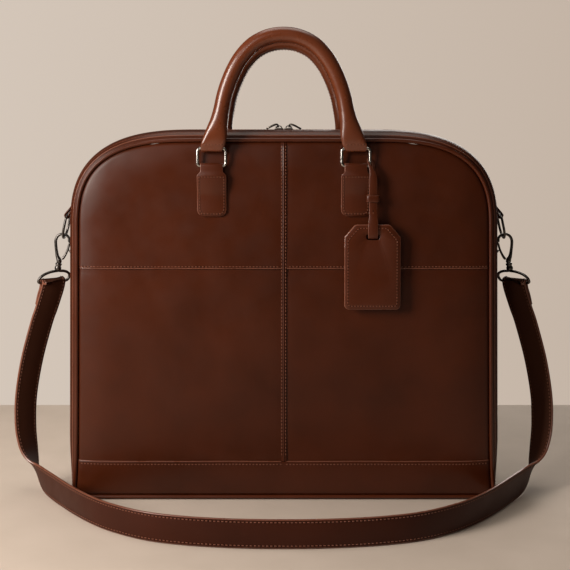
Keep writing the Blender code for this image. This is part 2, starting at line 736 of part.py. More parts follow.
def tilted(x, z, pivot, angle):
    """Turn a flat point about the Y axis so that its lower end leans outwards (-X)."""
    dx, dz = x, z
    cosine, sine = math.cos(angle), math.sin(angle)
    return (pivot[0] + dx * cosine + dz * sine, pivot[2] - dx * sine + dz * cosine)


def d_ring_path():
    """D-ring in a plane that leans outwards, its straight bar uppermost."""
    flat = [(-0.5, 0.0), (0.0, 0.0), (0.5, 0.0), (0.86, 0.0), (0.99, -0.0018), (1.0, -0.0048)]
    points = [(y * D_RADIUS, z) for y, z in flat]
    drop = D_HEIGHT - D_RADIUS
    for k in range(9):
        angle = math.pi * k / 8
        points.append((D_RADIUS * math.cos(angle), -drop - D_RADIUS * math.sin(angle)))
    points += [(-D_RADIUS, -0.0048), (-0.99 * D_RADIUS, -0.0018), (-0.86 * D_RADIUS, 0.0)]
    path = []
    for y, z in points:
        x, height = tilted(0.0, z, (BAR_X, 0.0, BAR_Z), D_TILT)
        path.append((x, SIDE_Y + y, height))
    return path


def d_ring_tab():
    """Leather tab stitched to the gusset that holds the D-ring's bar."""
    turn = D_WIRE + GAP + 0.0008
    keys = [(-0.2868, 0.4020), (-0.2868, 0.3930), (-0.2890, 0.3840), (BAR_X + turn, BAR_Z + 0.0030)]
    for k in range(0, 7):
        angle = math.pi * k / 6
        keys.append((BAR_X + turn * math.cos(angle), BAR_Z - turn * math.sin(angle)))
    keys += [(BAR_X - turn, BAR_Z + 0.0030), (-0.2917, 0.3850), (-0.2888, 0.3930), (-0.2888, 0.4020)]
    path = [(x, SIDE_Y, z) for x, z in keys]
    return sweep(path, [(0.0, 1.0, 0.0)] * len(path), [0.0105] * len(path), [0.0008] * len(path), FLAT)


HOOK_TOP_Z = BAR_Z - D_HEIGHT * math.cos(D_TILT) + D_WIRE + 0.0010 + HOOK_WIRE
HOOK_TOP = (BAR_X - D_HEIGHT * math.sin(D_TILT), SIDE_Y, HOOK_TOP_Z)


def hook_point(x, z):
    """A point of the hook's plane, measured from the middle of its top arc."""
    px, pz = tilted(x, z, HOOK_TOP, HOOK_TILT)
    return (px, SIDE_Y, pz)


def hook_wire():
    """Pear-shaped hook from the barrel, up the outer side, over the top and down to its nose."""
    keys = [(0.0, -0.0372), (-0.0010, -0.0352), (-0.0046, -0.0310), (-0.0080, -0.0240), (-0.0098, -0.0160),
            (-0.0094, -0.0090), (-0.0072, -0.0035), (-0.0036, -0.0006), (0.0, 0.0), (0.0036, -0.0006),
            (0.0072, -0.0035), (0.0093, -0.0085)]
    radii = [0.0026, 0.0026, 0.0022, 0.0019, HOOK_WIRE, HOOK_WIRE, HOOK_WIRE, HOOK_WIRE, HOOK_WIRE,
             HOOK_WIRE, HOOK_WIRE, HOOK_WIRE]
    rows = smooth_path([(*k, r) for k, r in zip(keys, radii)], 2)
    return wire([hook_point(r[0], r[1]) for r in rows], rows[:, 2])


def gate_bar():
    """Sprung gate from the hook's base to its nose."""
    keys = [(0.0046, -0.0330), (0.0068, -0.0270), (0.0088, -0.0190), (0.0095, -0.0109)]
    return wire([hook_point(x, z) for x, z in keys], [0.0016, 0.0015, 0.0014, 0.0014])


def gate_nub():
    """Thumb knob on the gate."""
    keys = [(0.0098, -0.0203, 0.0010), (0.0112, -0.0207, 0.0010), (0.0120, -0.0210, 0.0019), (0.0130, -0.0213, 0.0019),
            (0.0135, -0.0215, 0.0012)]
    return wire([hook_point(x + 0.0004, z) for x, z, _ in keys], [k[2] for k in keys])


def lathe(profile, top, down):
    """Turn a closed (radius, distance) profile about an axis that starts at top."""
    down = unit(down)
    across = unit(np.cross(down, (0.0, 1.0, 0.0)))
    forward = np.cross(down, across)
    points, faces = [], []
    size, turns = len(profile), 12
    for k in range(turns):
        angle = math.tau * k / turns
        spoke = across * math.cos(angle) + forward * math.sin(angle)
        for radius, distance in profile:
            points.append(np.array(top) + down * distance + spoke * radius)
    for k in range(turns):
        for i in range(size - 1):
            a, b = k * size + i, ((k + 1) % turns) * size + i
            faces.append((a, a + 1, b + 1, b))
    for i, flip in ((0, True), (size - 1, False)):
        cap = tuple(k * size + i for k in range(turns))
        faces.append(cap if flip else cap[::-1])
    return points, faces


SWIVEL_TOP = hook_point(0.0, -0.0402)
SWIVEL_DOWN = (-math.sin(HOOK_TILT), 0.0, -math.cos(HOOK_TILT))
BARREL = [(0.0026, 0.0), (0.0040, 0.0006), (0.0044, 0.0020), (0.0036, 0.0034), (0.0036, 0.0046), (0.0044, 0.0060),
          (0.0044, 0.0088), (0.0034, 0.0100), (0.0020, 0.0100), (0.0020, 0.0030)]


def swivel_loop():
    """One bent wire: a post inside the barrel and a rectangular loop for the strap."""
    turn = np.array([math.cos(LOOP_TURN), math.sin(LOOP_TURN), 0.0])
    base = np.array(SWIVEL_TOP)
    down = np.array(SWIVEL_DOWN)
    post = [base + down * 0.0038, base + down * 0.0090, base + down * 0.0118]
    low = np.array(LOOP_BAR)
    top = base + down * 0.0142
    half, bend = 0.0226, 0.0034
    drop = low - top
    keys = [top + turn * 0.0030, top + turn * (half - bend) - down * 0.0002, top + turn * half + drop * 0.25,
            top + turn * half + drop * 0.72, low + turn * (half - bend), low, low - turn * (half - bend),
            top - turn * half + drop * 0.72, top - turn * half + drop * 0.25, top - turn * (half - bend) - down * 0.0002,
            top - turn * 0.0042]
    path = np.vstack((post, smooth_path(keys, 3)))
    facing = np.cross(turn, (0.0, 0.0, 1.0))
    return wire(path, 0.00155, side=facing)


def strap_rows():
    """Half of the strap: centre line and width direction from the loop to the front centre."""
    bar = np.array(LOOP_BAR)
    turn = np.array([math.cos(LOOP_TURN), math.sin(LOOP_TURN), 0.0])
    away = np.array([-math.sin(LOOP_TURN), math.cos(LOOP_TURN), 0.0])
    reach = 0.00155 + GAP + STRAP_THICK / 2
    rows = [(*(bar + away * reach + np.array([-0.0070, 0.0, -0.0330])), *turn)]
    rows.append((*(bar + away * reach + np.array([-0.0042, 0.0, -0.0200])), *turn))
    for k in range(0, 7):
        angle = math.pi * k / 6
        spot = bar + away * reach * math.cos(angle) + np.array([0.0, 0.0, reach * math.sin(angle)])
        rows.append((*spot, *turn))
    keys = [
        (-0.3200, 0.0152, 0.2700, 0.79, 0.61, 0.00), (-0.3278, 0.0150, 0.2450, 0.77, 0.64, 0.00),
        (-0.3356, 0.0145, 0.2220, 0.75, 0.66, 0.00), (-0.3485, 0.0120, 0.1720, 0.73, 0.68, 0.00),
        (-0.3558, 0.0080, 0.1240, 0.69, 0.72, 0.00), (-0.3562, 0.0040, 0.0880, 0.65, 0.75, -0.05),
        (-0.3530, -0.0005, 0.0640, 0.57, 0.74, -0.25), (-0.3465, -0.0065, 0.0430, 0.45, 0.60, -0.60),
        (-0.3370, -0.0170, 0.0275, 0.28, 0.35, -0.90), (-0.3235, -0.0350, 0.0200, 0.08, 0.10, -1.0),
        (-0.3050, -0.0610, 0.0179, 0.0, 0.0, -1.0), (-0.2730, -0.1060, 0.0177, 0.0, 0.0, -1.0),
        (-0.2435, -0.1420, 0.0177, 0.0, 0.0, -1.0), (-0.2130, -0.1710, 0.0177, 0.0, 0.0, -1.0),
        (-0.1700, -0.1990, 0.0177, 0.0, 0.0, -1.0), (-0.1235, -0.2150, 0.0177, 0.0, 0.0, -1.0),
        (-0.0650, -0.2245, 0.0177, 0.0, 0.0, -1.0), (0.0, -0.2275, 0.0177, 0.0, 0.0, -1.0),
    ]
    return rows, keys


def shoulder_strap():
    """The whole strap in one piece, looped round both fittings."""
    loop, keys = strap_rows()
    first = np.array(loop[:-1])
    body = [loop[-1]] + keys
    flip = np.array([-1.0, 1.0, 1.0, -1.0, 1.0, 1.0])
    whole = np.array(body + [tuple(np.array(r) * flip) for r in reversed(body[:-1])])
    middle = smooth_path(whole, 2)
    last = np.array([np.array(r) * flip for r in reversed(loop[:-1])])
    rows = np.vstack((first, middle, last))
    count = len(rows)
    return sweep(rows[:, :3], rows[:, 3:], [STRAP_HALF] * count, [STRAP_THICK / 2] * count, FLAT)


SWING_AXIS = (0.0, SIDE_Y, SWING_Z)
for side, sign in (("left", 1), ("right", -1)):
    def placed(shape, name, slot, origin, sign=sign):
        shape_points, shape_faces = shape
        if sign < 0:
            shape_points = mirrored(shape_points)
        add_node(name, shape_points, shape_faces, slot, (sign * origin[0], origin[1], origin[2]))

    placed(d_ring_tab(), f"d_ring_tab_{side}", "trim_leather", (0.0, 0.0, 0.0))
    placed(wire(d_ring_path(), D_WIRE, closed=True, side=(1.0, 0.0, 0.2)), f"d_ring_{side}", "hook_metal",
           (BAR_X, SIDE_Y, BAR_Z))
    placed(hook_wire(), f"hook_{side}", "hook_metal", SWIVEL_TOP)
    placed(lathe(BARREL, SWIVEL_TOP, SWIVEL_DOWN), f"swivel_barrel_{side}", "hook_metal", SWIVEL_TOP)
    placed(gate_bar(), f"gate_{side}", "hook_metal", hook_point(0.0046, -0.0330))
    placed(gate_nub(), f"gate_nub_{side}", "hook_metal", hook_point(0.0046, -0.0330))
    placed(swivel_loop(), f"swivel_loop_{side}", "hook_metal", SWING_AXIS)

points, faces = shoulder_strap()
add_node("shoulder_strap", points, faces, "strap_leather", SWING_AXIS)
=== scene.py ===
"""Looks of the leather garment bag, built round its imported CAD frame.

Every shown piece is a finer mesh made here that rides on a CAD body and stands for its CAD nodes.
X runs across the bag, the front faces -Y, and Z is up. Lengths are in metres.
"""
import math

import bmesh
import bpy
import numpy as np
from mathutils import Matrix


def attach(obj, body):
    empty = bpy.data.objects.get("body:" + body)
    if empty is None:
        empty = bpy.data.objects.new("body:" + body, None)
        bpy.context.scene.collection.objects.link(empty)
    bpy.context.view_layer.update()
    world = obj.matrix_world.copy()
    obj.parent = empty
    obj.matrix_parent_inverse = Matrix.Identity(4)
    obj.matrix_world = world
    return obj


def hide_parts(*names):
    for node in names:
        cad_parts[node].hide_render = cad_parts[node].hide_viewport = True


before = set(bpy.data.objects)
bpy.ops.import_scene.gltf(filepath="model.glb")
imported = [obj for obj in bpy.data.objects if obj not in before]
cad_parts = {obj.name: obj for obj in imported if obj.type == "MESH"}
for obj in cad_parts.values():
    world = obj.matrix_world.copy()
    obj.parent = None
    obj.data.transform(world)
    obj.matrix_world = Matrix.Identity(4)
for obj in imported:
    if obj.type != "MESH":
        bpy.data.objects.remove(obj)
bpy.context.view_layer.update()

# --- dimensions, in metres ---

HALF_WIDTH = 0.2715
BASE_SPREAD = 0.004
BASE_FLARE = 0.005
TOP_Z = 0.477
BASE_Z = 0.0032
BASE_CORNER = 0.012
SHOULDER_X = 0.115
SHOULDER_DROP = 0.12
SHOULDER_POWER = 2.85
CENTRE_Y = 0.062
PIPING_Y = 0.055
PIPING_RADIUS = 0.0026
PANEL_INSET = 0.003
ROLL_WIDTH = 0.045
CROWN = 0.0135
SEAM_Z = 0.3085
BAND_Z = 0.0526
WELT_HALF = 0.0038
SHEET_THICK = 0.0018
LINING_Y = 0.0505

RING_X = 0.094
RING_Y = 0.0664
RING_LOW_Z = 0.4435
RING_HIGH_Z = 0.4662
RING_HALF_WIDTH = 0.0184
RING_WIRE = 0.00165
HANDLE_RADIUS = 0.01025
PATCH_FOOT_Z = 0.3775
PATCH_CORNER = 0.009
NECK_HALF = 0.0146
TAB_X = -0.085

SIDE_Y = 0.018
BAR_X = -0.2975
BAR_Z = 0.3715
D_TILT = math.radians(12.0)
D_HEIGHT = 0.031
D_RADIUS = 0.016
D_WIRE = 0.0016
HOOK_TILT = math.radians(10.5)
HOOK_WIRE = 0.0018
STRAP_HALF = 0.0172
STRAP_THICK = 0.0034
LOOP_TURN = math.radians(38.0)
LOOP_BAR = np.array((-0.32, SIDE_Y, 0.28))
LOOP_ALONG = np.array((math.cos(LOOP_TURN), math.sin(LOOP_TURN), 0.0))
LOOP_AWAY = np.array((-math.sin(LOOP_TURN), math.cos(LOOP_TURN), 0.0))
LOOP_HALF = 0.0226

TAG_X = 0.1155
TAG_TOP_Z = 0.3674
TAG_FOOT_Z = 0.2561
TAG_HALF = 0.0367
TAG_Y = -0.072
SLOT_Z = 0.352
TAG_STRAP_X = 0.116

SLIDER_X = 0.0065
ZIP_Z = TOP_Z + CROWN
TOOTH_PITCH = 0.0022

# Stitch pitch, length and width
STITCH_PITCH = 0.0044
PATCH_STITCH = (0.004, 0.0027, 0.00052)
FINE_STITCH = (0.0032, 0.0022, 0.0005)
STITCH_LIFT = 0.0003

# Shallow dent in the upper panel that leaves room for the tag's strap
DENT_X = 0.1125
DENT_Z = 0.451
DENT_RADIUS = 0.011

FRONT = (0.0, -1.0, 0.0)
ACROSS = (0.0, 1.0, 0.0)
UP = (0.0, 0.0, 1.0)
WELT_HEIGHTS = np.linspace(BAND_Z + 0.0006, TOP_Z - PANEL_INSET, 120)
SHARP_ANGLE = math.radians(50.0)

# --- materials ---

NOISE = "ShaderNodeTexNoise"
WAVE = "ShaderNodeTexWave"


def new_material(name, colour, roughness, metallic=0.0, specular=0.5):
    material = bpy.data.materials.new(name)
    material.use_nodes = True
    shader = material.node_tree.nodes["Principled BSDF"]
    shader.inputs["Base Color"].default_value = (*colour, 1.0)
    shader.inputs["Roughness"].default_value = roughness
    shader.inputs["Metallic"].default_value = metallic
    shader.inputs["Specular IOR Level"].default_value = specular
    return material, material.node_tree, shader


def add_texture(tree, kind, scale, **settings):
    """A procedural texture in the piece's own metres; scale is features to the metre."""
    texture = tree.nodes.new(kind)
    texture.inputs["Scale"].default_value = scale
    for key, value in settings.items():
        texture.inputs[key].default_value = value
    place = tree.nodes.get("Texture Coordinate") or tree.nodes.new("ShaderNodeTexCoord")
    tree.links.new(place.outputs["Object"], texture.inputs["Vector"])
    return texture


def vary(tree, socket, source, low, high, first, second):
    """Run a socket from colour first to colour second as its source goes from low to high."""
    ramp = tree.nodes.new("ShaderNodeValToRGB")
    for element, position, colour in zip(ramp.color_ramp.elements, (low, high), (first, second)):
        element.position = position
        element.color = (*colour, 1.0)
    tree.links.new(source, ramp.inputs["Fac"])
    tree.links.new(ramp.outputs["Color"], socket)


def add_bumps(tree, shader, layers):
    """Chain of bumps; each layer is (height socket, depth in metres, strength)."""
    previous = None
    for socket, depth, strength in layers:
        bump = tree.nodes.new("ShaderNodeBump")
        bump.inputs["Distance"].default_value = depth
        bump.inputs["Strength"].default_value = strength
        tree.links.new(socket, bump.inputs["Height"])
        if previous:
            tree.links.new(previous, bump.inputs["Normal"])
        previous = bump.outputs["Normal"]
    tree.links.new(previous, shader.inputs["Normal"])


def leather(name, colour, shade, roughness, grain, specular):
    """Smooth finished leather: cloudy dye, fine pores and a few soft creases."""
    material, tree, shader = new_material(name, colour, roughness, 0.0, specular)
    cloud = add_texture(tree, NOISE, 9.0, Detail=5.0, Roughness=0.6)
    dark = tuple(c * shade for c in colour)
    vary(tree, shader.inputs["Base Color"], cloud.outputs["Fac"], 0.32, 0.68, dark, colour)
    smear = add_texture(tree, NOISE, 38.0, Detail=3.0)
    vary(tree, shader.inputs["Roughness"], smear.outputs["Fac"], 0.3, 0.7,
         (roughness - 0.05,) * 3, (roughness + 0.06,) * 3)
    pores = add_texture(tree, "ShaderNodeTexVoronoi", 1150.0)
    pebble = add_texture(tree, NOISE, 620.0, Detail=2.0)
    creases = add_texture(tree, NOISE, 26.0, Detail=3.0, Roughness=0.45)
    add_bumps(tree, shader, [
        (creases.outputs["Fac"], 0.0011, 0.22 * grain),
        (pebble.outputs["Fac"], 0.0002, 0.3 * grain),
        (pores.outputs["Distance"], 0.00012, 0.3 * grain),
    ])
    return material


def metal(name, colour, roughness):
    """Plated metal with faint polishing marks."""
    material, tree, shader = new_material(name, colour, roughness, 1.0)
    marks = add_texture(tree, NOISE, 240.0, Detail=4.0)
    vary(tree, shader.inputs["Roughness"], marks.outputs["Fac"], 0.35, 0.7,
         (roughness - 0.05,) * 3, (roughness + 0.09,) * 3)
    add_bumps(tree, shader, [(marks.outputs["Fac"], 0.00002, 0.05)])
    return material


def woven(name, colour, threads):
    """Plain cloth with a crossed weave."""
    material, tree, shader = new_material(name, colour, 0.82, 0.0, 0.2)
    warp = add_texture(tree, WAVE, threads, Distortion=0.6)
    weft = add_texture(tree, WAVE, threads, Distortion=0.6)
    weft.bands_direction = "Z"
    dark = tuple(c * 0.7 for c in colour)
    vary(tree, shader.inputs["Base Color"], warp.outputs["Fac"], 0.1, 0.9, dark, colour)
    add_bumps(tree, shader, [(thread.outputs["Fac"], 0.0003, 0.4) for thread in (warp, weft)])
    return material


def spun_thread(name, colour):
    """Twisted sewing thread, with painted shade in the grooves between its plies."""
    material, tree, shader = new_material(name, colour, 0.5)
    plies = add_texture(tree, WAVE, 700.0, Distortion=1.5)
    plies.bands_direction = "DIAGONAL"
    # The darker bands are painted shade between the plies
    dark = tuple(c * 0.72 for c in colour)
    vary(tree, shader.inputs["Base Color"], plies.outputs["Fac"], 0.1, 0.7, dark, colour)
    add_bumps(tree, shader, [(plies.outputs["Fac"], 0.0001, 0.3)])
    return material


LEATHER = leather("leather_body", (0.066, 0.0126, 0.0028), 0.66, 0.37, 1.0, 0.27)
TRIM = leather("leather_trim", (0.078, 0.0155, 0.004), 0.74, 0.34, 0.7, 0.34)
HANDLE = leather("leather_handle", (0.15, 0.035, 0.011), 0.72, 0.27, 0.6, 0.65)
STRAP = leather("leather_strap", (0.048, 0.0086, 0.002), 0.76, 0.4, 0.9, 0.2)
SUEDE = leather("leather_flesh_side", (0.06, 0.019, 0.0085), 0.8, 0.7, 2.2, 0.15)
# Edge colour much lighter than the leather: partly the real edge paint, partly a painted highlight where the edges
# catch the light
EDGE_PAINT_HIGHLIGHT = leather("painted_edge", (0.19, 0.064, 0.035), 0.85, 0.3, 0.4, 0.6)
THREAD = spun_thread("thread", (0.23, 0.076, 0.038))
# Near-black colour for the flat lozenges between stitches: painted shade standing in for each needle hole
HOLE_SHADE = leather("needle_hole", (0.014, 0.004, 0.0018), 0.8, 0.8, 1.0, 0.1)
LINING = woven("lining_twill", (0.06, 0.034, 0.022), 900.0)
TAPE = woven("zip_tape_weave", (0.02, 0.01, 0.007), 1400.0)
NICKEL = metal("ring_nickel", (0.46, 0.44, 0.41), 0.22)
GUNMETAL = metal("hook_gunmetal", (0.115, 0.105, 0.098), 0.3)
ZIP_METAL = metal("zip_antique", (0.16, 0.14, 0.12), 0.3)
TRIM_AND_EDGE_HIGHLIGHT = [TRIM, EDGE_PAINT_HIGHLIGHT]
SEWN = [THREAD, HOLE_SHADE]

# --- mesh helpers ---


def make_piece(name, shape, material, body, nodes=()):
    """A shown mesh that rides on a CAD body and stands for the CAD nodes it names.

    A shape is points and faces, and then the material number of each face where a piece has several.
    """
    points, faces, *face_materials = shape
    mesh = bpy.data.meshes.new(name)
    mesh.from_pydata(np.asarray(points, dtype=float).tolist(), [], faces)
    for item in material if isinstance(material, list) else [material]:
        mesh.materials.append(item)
    if face_materials:
        mesh.polygons.foreach_set("material_index", face_materials[0])
    shell = bmesh.new()
    shell.from_mesh(mesh)
    bmesh.ops.recalc_face_normals(shell, faces=shell.faces)
    shell.to_mesh(mesh)
    shell.free()
    mesh.polygons.foreach_set("use_smooth", [True] * len(mesh.polygons))
    mesh.set_sharp_from_angle(angle=SHARP_ANGLE)
    piece = bpy.data.objects.new(name, mesh)
    bpy.context.scene.collection.objects.link(piece)
    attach(piece, body)
    if nodes:
        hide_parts(*nodes)


def piece_maker(pattern, place):
    """make_piece for one half or side of the bag, with its pattern of names and its placing of points."""
    def put(name, shape, material, body, slot, nodes=()):
        shape = (place(shape[0]), *shape[1:])
        make_piece(pattern % name, shape, material, body, [pattern % node for node in nodes])
    return put


def unit(vector):
    vector = np.asarray(vector, dtype=float)
    return vector / np.linalg.norm(vector)


def units(rows):
    rows = np.asarray(rows, dtype=float)
    return rows / np.linalg.norm(rows, axis=1, keepdims=True)


def run_lengths(line):
    """Distance from the start of a line to each of its points."""
    return np.concatenate(([0.0], np.cumsum(np.linalg.norm(np.diff(line, axis=0), axis=1))))


def read_at(rows, lengths, targets):
    """Rows of numbers read off at some distances along their line."""
    return np.stack([np.interp(targets, lengths, column) for column in np.transpose(rows)], axis=-1)


def smooth_path(keys, steps, closed=False):
    """Catmull-Rom curve through rows of numbers."""
    keys = np.array(keys, dtype=float)
    count = len(keys)
    rows = []
    for i in range(count if closed else count - 1):
        if closed:
            p0, p1, p2, p3 = (keys[(i + k) % count] for k in (-1, 0, 1, 2))
        else:
            p1, p2 = keys[i], keys[i + 1]
            p0 = keys[i - 1] if i > 0 else 2 * p1 - p2
            p3 = keys[i + 2] if i + 2 < count else 2 * p2 - p1
        for k in range(steps):
            t = k / steps
            rows.append(0.5 * (2 * p1 + (p2 - p0) * t + (2 * p0 - 5 * p1 + 4 * p2 - p3) * t * t
                               + (3 * p1 - p0 - 3 * p2 + p3) * t ** 3))
    if not closed:
        rows.append(keys[-1])
    return np.array(rows)


def frames_along(path, sides, closed=False):
    """Unit side and normal directions square to a path."""
    path = np.asarray(path, dtype=float)
    if closed:
        tangents = units(np.roll(path, -1, axis=0) - np.roll(path, 1, axis=0))
    else:
        tangents = units(np.gradient(path, axis=0))
    sides = np.broadcast_to(np.asarray(sides, dtype=float), path.shape)
    sides = units(sides - tangents * np.sum(sides * tangents, axis=1, keepdims=True))
    return sides, np.cross(tangents, sides)


def loft_faces(count, ring, closed=False):
    """Faces between rows of points that each go round a ring, with end caps unless the rows close."""
    faces = []
    for i in range(count if closed else count - 1):
        j = (i + 1) % count
        for k in range(ring):
            m = (k + 1) % ring
            faces.append((i * ring + k, i * ring + m, j * ring + m, j * ring + k))
    if not closed:
        faces.append(tuple(reversed(range(ring))))
        faces.append(tuple((count - 1) * ring + k for k in range(ring)))
    return faces


def sweep(path, sides, sections, closed=False):
    """Points and faces of flat sections, in metres, carried along a path."""
    path = np.asarray(path, dtype=float)
    sides, normals = frames_along(path, sides, closed)
    sections = np.asarray(sections, dtype=float)
    if sections.ndim == 2:
        sections = np.broadcast_to(sections, (len(path), *sections.shape))
    points = path[:, None] + sides[:, None] * sections[:, :, :1] + normals[:, None] * sections[:, :, 1:]
    return points.reshape(-1, 3), loft_faces(*sections.shape[:2], closed)


def circle(sides):
    turns = [math.tau * k / sides for k in range(sides)]
    return np.array([(math.cos(angle), math.sin(angle)) for angle in turns])


HEXAGON = circle(6)


def wire(path, radius, closed=False, side=ACROSS, sides=16):
    radii = np.broadcast_to(np.asarray(radius, dtype=float), (len(path),))
    return sweep(path, side, circle(sides)[None] * radii[:, None, None], closed)


def rounded_bar(half_width, half_thick, corner, steps=3):
    """Flat strip's section with rounded corners; its wide faces are segments steps and 3 * steps + 2."""
    points = []
    for sx, sy, start in ((1, 1, 0), (-1, 1, 90), (-1, -1, 180), (1, -1, 270)):
        for k in range(steps + 1):
            angle = math.radians(start + 90.0 * k / steps)
            points.append((sx * (half_width - corner) + corner * math.cos(angle),
                           sy * (half_thick - corner) + corner * math.sin(angle)))
    return np.array(points)


def strip_slots(count, closed):
    """Material of each face of a swept strip: 0 on the wide faces and 1 on the edges."""
    spans = count if closed else count - 1
    slots = [0 if k in (2, 8) else 1 for _ in range(spans) for k in range(12)]
    return slots if closed else slots + [1, 1]


def mirrored(points):
    return np.asarray(points) * np.array((-1.0, 1.0, 1.0))


def facing(points, sign):
    """Points made for the front (negative Y), turned to the back when sign is positive."""
    return np.asarray(points) * np.array((1.0, -sign, 1.0))


def raised(flat, depth):
    """Points at one distance from the bag's middle plane, towards the front."""
    flat = np.asarray(flat)
    return np.stack((flat[:, 0], np.broadcast_to(-np.asarray(depth), len(flat)), flat[:, 1]), axis=1)


def join(parts):
    """One list of points and faces out of several."""
    points, faces, offset = [], [], 0
    for some_points, some_faces in parts:
        points.append(np.asarray(some_points, dtype=float))
        faces.extend(tuple(i + offset for i in face) for face in some_faces)
        offset += len(some_points)
    return np.vstack(points), faces


def lozenge(line, swells, up, across, width, height):
    """A small closed six-sided form along a short line."""
    points = [station + (across * x * width + up * z * height) * swell
              for station, swell in zip(line, swells) for x, z in HEXAGON]
    return points, loft_faces(len(swells), len(HEXAGON))


def stitch_row(points, normals, pitch=STITCH_PITCH, length=0.0029, width=0.00055, closed=False):
    """Stitches laid end to end along a line on a surface, and between them thin dark lozenges, painted shade for
    each needle hole.
    """
    points = np.asarray(points, dtype=float)
    normals = np.broadcast_to(np.asarray(normals, dtype=float), points.shape)
    if closed:
        points, normals = (np.vstack((rows, rows[:1])) for rows in (points, normals))
    along = run_lengths(points)
    count = max(int(along[-1] / pitch), 1)
    pitch = along[-1] / count
    gap = pitch - length
    threads, hole_shades = [], []
    for n in range(count):
        stations = n * pitch + gap / 2 + length * np.array((0.0, 0.16, 0.5, 0.84, 1.0))
        line = read_at(points, along, stations)
        up = unit(read_at(normals, along, stations[2]))
        run = unit(line[4] - line[0])
        across = unit(np.cross(run, up))
        line = line + up * STITCH_LIFT * np.array((-1.0, 1.0, 1.0, 1.0, -1.0))[:, None]
        threads.append(lozenge(line, (0.35, 0.85, 1.0, 0.85, 0.35), up, across, width, width * 0.75))
        # A thin sheet just over the surface that carries the painted shade of the needle hole
        middle = line[4] + up * STITCH_LIFT * 1.25 + run * gap / 2
        pit = [middle + run * shift * (gap / 2 + 0.0001) for shift in (-1.0, 0.0, 1.0)]
        hole_shades.append(lozenge(pit, (0.45, 1.0, 0.45), up, across, width * 1.1, 0.0001))
    return join(threads), join(hole_shades)


def stitches(rows):
    """One shape for several stitch rows, with thread and the painted shade of each needle hole in it."""
    threads, hole_shades = join([row[0] for row in rows]), join([row[1] for row in rows])
    return (*join([threads, hole_shades]), [0] * len(threads[1]) + [1] * len(hole_shades[1]))


# --- bag outline ---


BASE_POINTS = 14
CORNER_POINTS = 9
SIDE_POINTS = 25
SHOULDER_STEPS = 48


def side_x(z):
    """Half width of the bag at a height, a little wider towards the base."""
    spread = BASE_SPREAD * (1.0 - z / TOP_Z)
    return HALF_WIDTH + spread + BASE_FLARE * math.exp(-z / 0.03)


def right_outline():
    """Right half of the piping line from the base centre up to the top centre."""
    corner_x = side_x(BASE_Z + BASE_CORNER) - BASE_CORNER
    points = [(corner_x * t, BASE_Z) for t in np.linspace(0.0, 0.98, BASE_POINTS)]
    for k in range(1, CORNER_POINTS + 1):
        angle = math.radians(-90.0 + 9.0 * k)
        points.append((corner_x + BASE_CORNER * math.cos(angle), BASE_Z + BASE_CORNER * (1.0 + math.sin(angle))))
    low, high = BASE_Z + BASE_CORNER, TOP_Z - SHOULDER_DROP
    for t in np.linspace(0.0, 1.0, SIDE_POINTS + 1)[:-1] ** 1.2:
        points.append((side_x(low + (high - low) * t), low + (high - low) * t))
    wide = side_x(high) - SHOULDER_X
    for k in range(SHOULDER_STEPS + 1):
        angle = math.radians(90.0 * k / SHOULDER_STEPS)
        across = max(math.cos(angle), 0.0) ** (2.0 / SHOULDER_POWER)
        points.append((SHOULDER_X + wide * across, high + SHOULDER_DROP * math.sin(angle) ** (2.0 / SHOULDER_POWER)))
    return points + [(x, TOP_Z) for x in np.linspace(SHOULDER_X, 0.0, 9)[1:]]


RIGHT = right_outline()
OUTLINE = np.array(RIGHT + [(-x, z) for x, z in reversed(RIGHT[1:-1])])
STEPS = np.roll(OUTLINE, -1, axis=0) - np.roll(OUTLINE, 1, axis=0)
NORMALS = units(np.stack((STEPS[:, 1], -STEPS[:, 0]), axis=1))
COUNT = len(OUTLINE)
FOOT_INDEX = BASE_POINTS + 5
FIRST_SIDE = BASE_POINTS + CORNER_POINTS
LAST_SIDE = COUNT - FIRST_SIDE
CORNER_INDEX = FIRST_SIDE + SIDE_POINTS + SHOULDER_STEPS // 2


def edge_distance(x, z):
    """Distance from points to the piping line."""
    spots = np.stack((np.asarray(x, dtype=float), np.asarray(z, dtype=float)), axis=-1)
    nearest = np.full(spots.shape[:-1], 9.0)
    for i in range(COUNT):
        span = OUTLINE[(i + 1) % COUNT] - OUTLINE[i]
        away = spots - OUTLINE[i]
        t = np.clip((away @ span) / span.dot(span), 0.0, 1.0)
        nearest = np.minimum(nearest, np.linalg.norm(away - t[..., None] * span, axis=-1))
    return nearest


def face_depth(x, z):
    """Distance of the panel's outer face from the bag's middle plane."""
    x, z = np.asarray(x, dtype=float), np.asarray(z, dtype=float)
    inside = edge_distance(x, z) - PANEL_INSET
    lift = 1.0 - (1.0 - np.clip(inside / ROLL_WIDTH, 0.0, 1.0)) ** 2.2
    tuck = 0.0016 * (1.0 - np.clip(inside / 0.0035, 0.0, 1.0)) ** 2
    wave = 0.00035 * np.sin(x * 37.0 + 1.3) * np.sin(z * 29.0 + 0.4) + 0.00025 * np.sin(x * 71.0 - z * 53.0)
    return PIPING_Y + 0.001 + (CENTRE_Y - PIPING_Y - 0.001) * lift - tuck + wave * lift


def resample(line, fractions):
    lengths = run_lengths(line)
    return read_at(line, lengths, np.array(fractions) * lengths[-1])


def coons(bottom, right, top, left):
    """Grid of flat points between four boundary lines."""
    u = np.linspace(0.0, 1.0, len(bottom))[None, :, None]
    v = np.linspace(0.0, 1.0, len(left))[:, None, None]
    grid = (1 - v) * bottom[None] + v * top[None] + (1 - u) * left[:, None] + u * right[:, None]
    return grid - ((1 - u) * (1 - v) * bottom[0] + u * (1 - v) * bottom[-1] + (1 - u) * v * top[0] + u * v * top[-1])


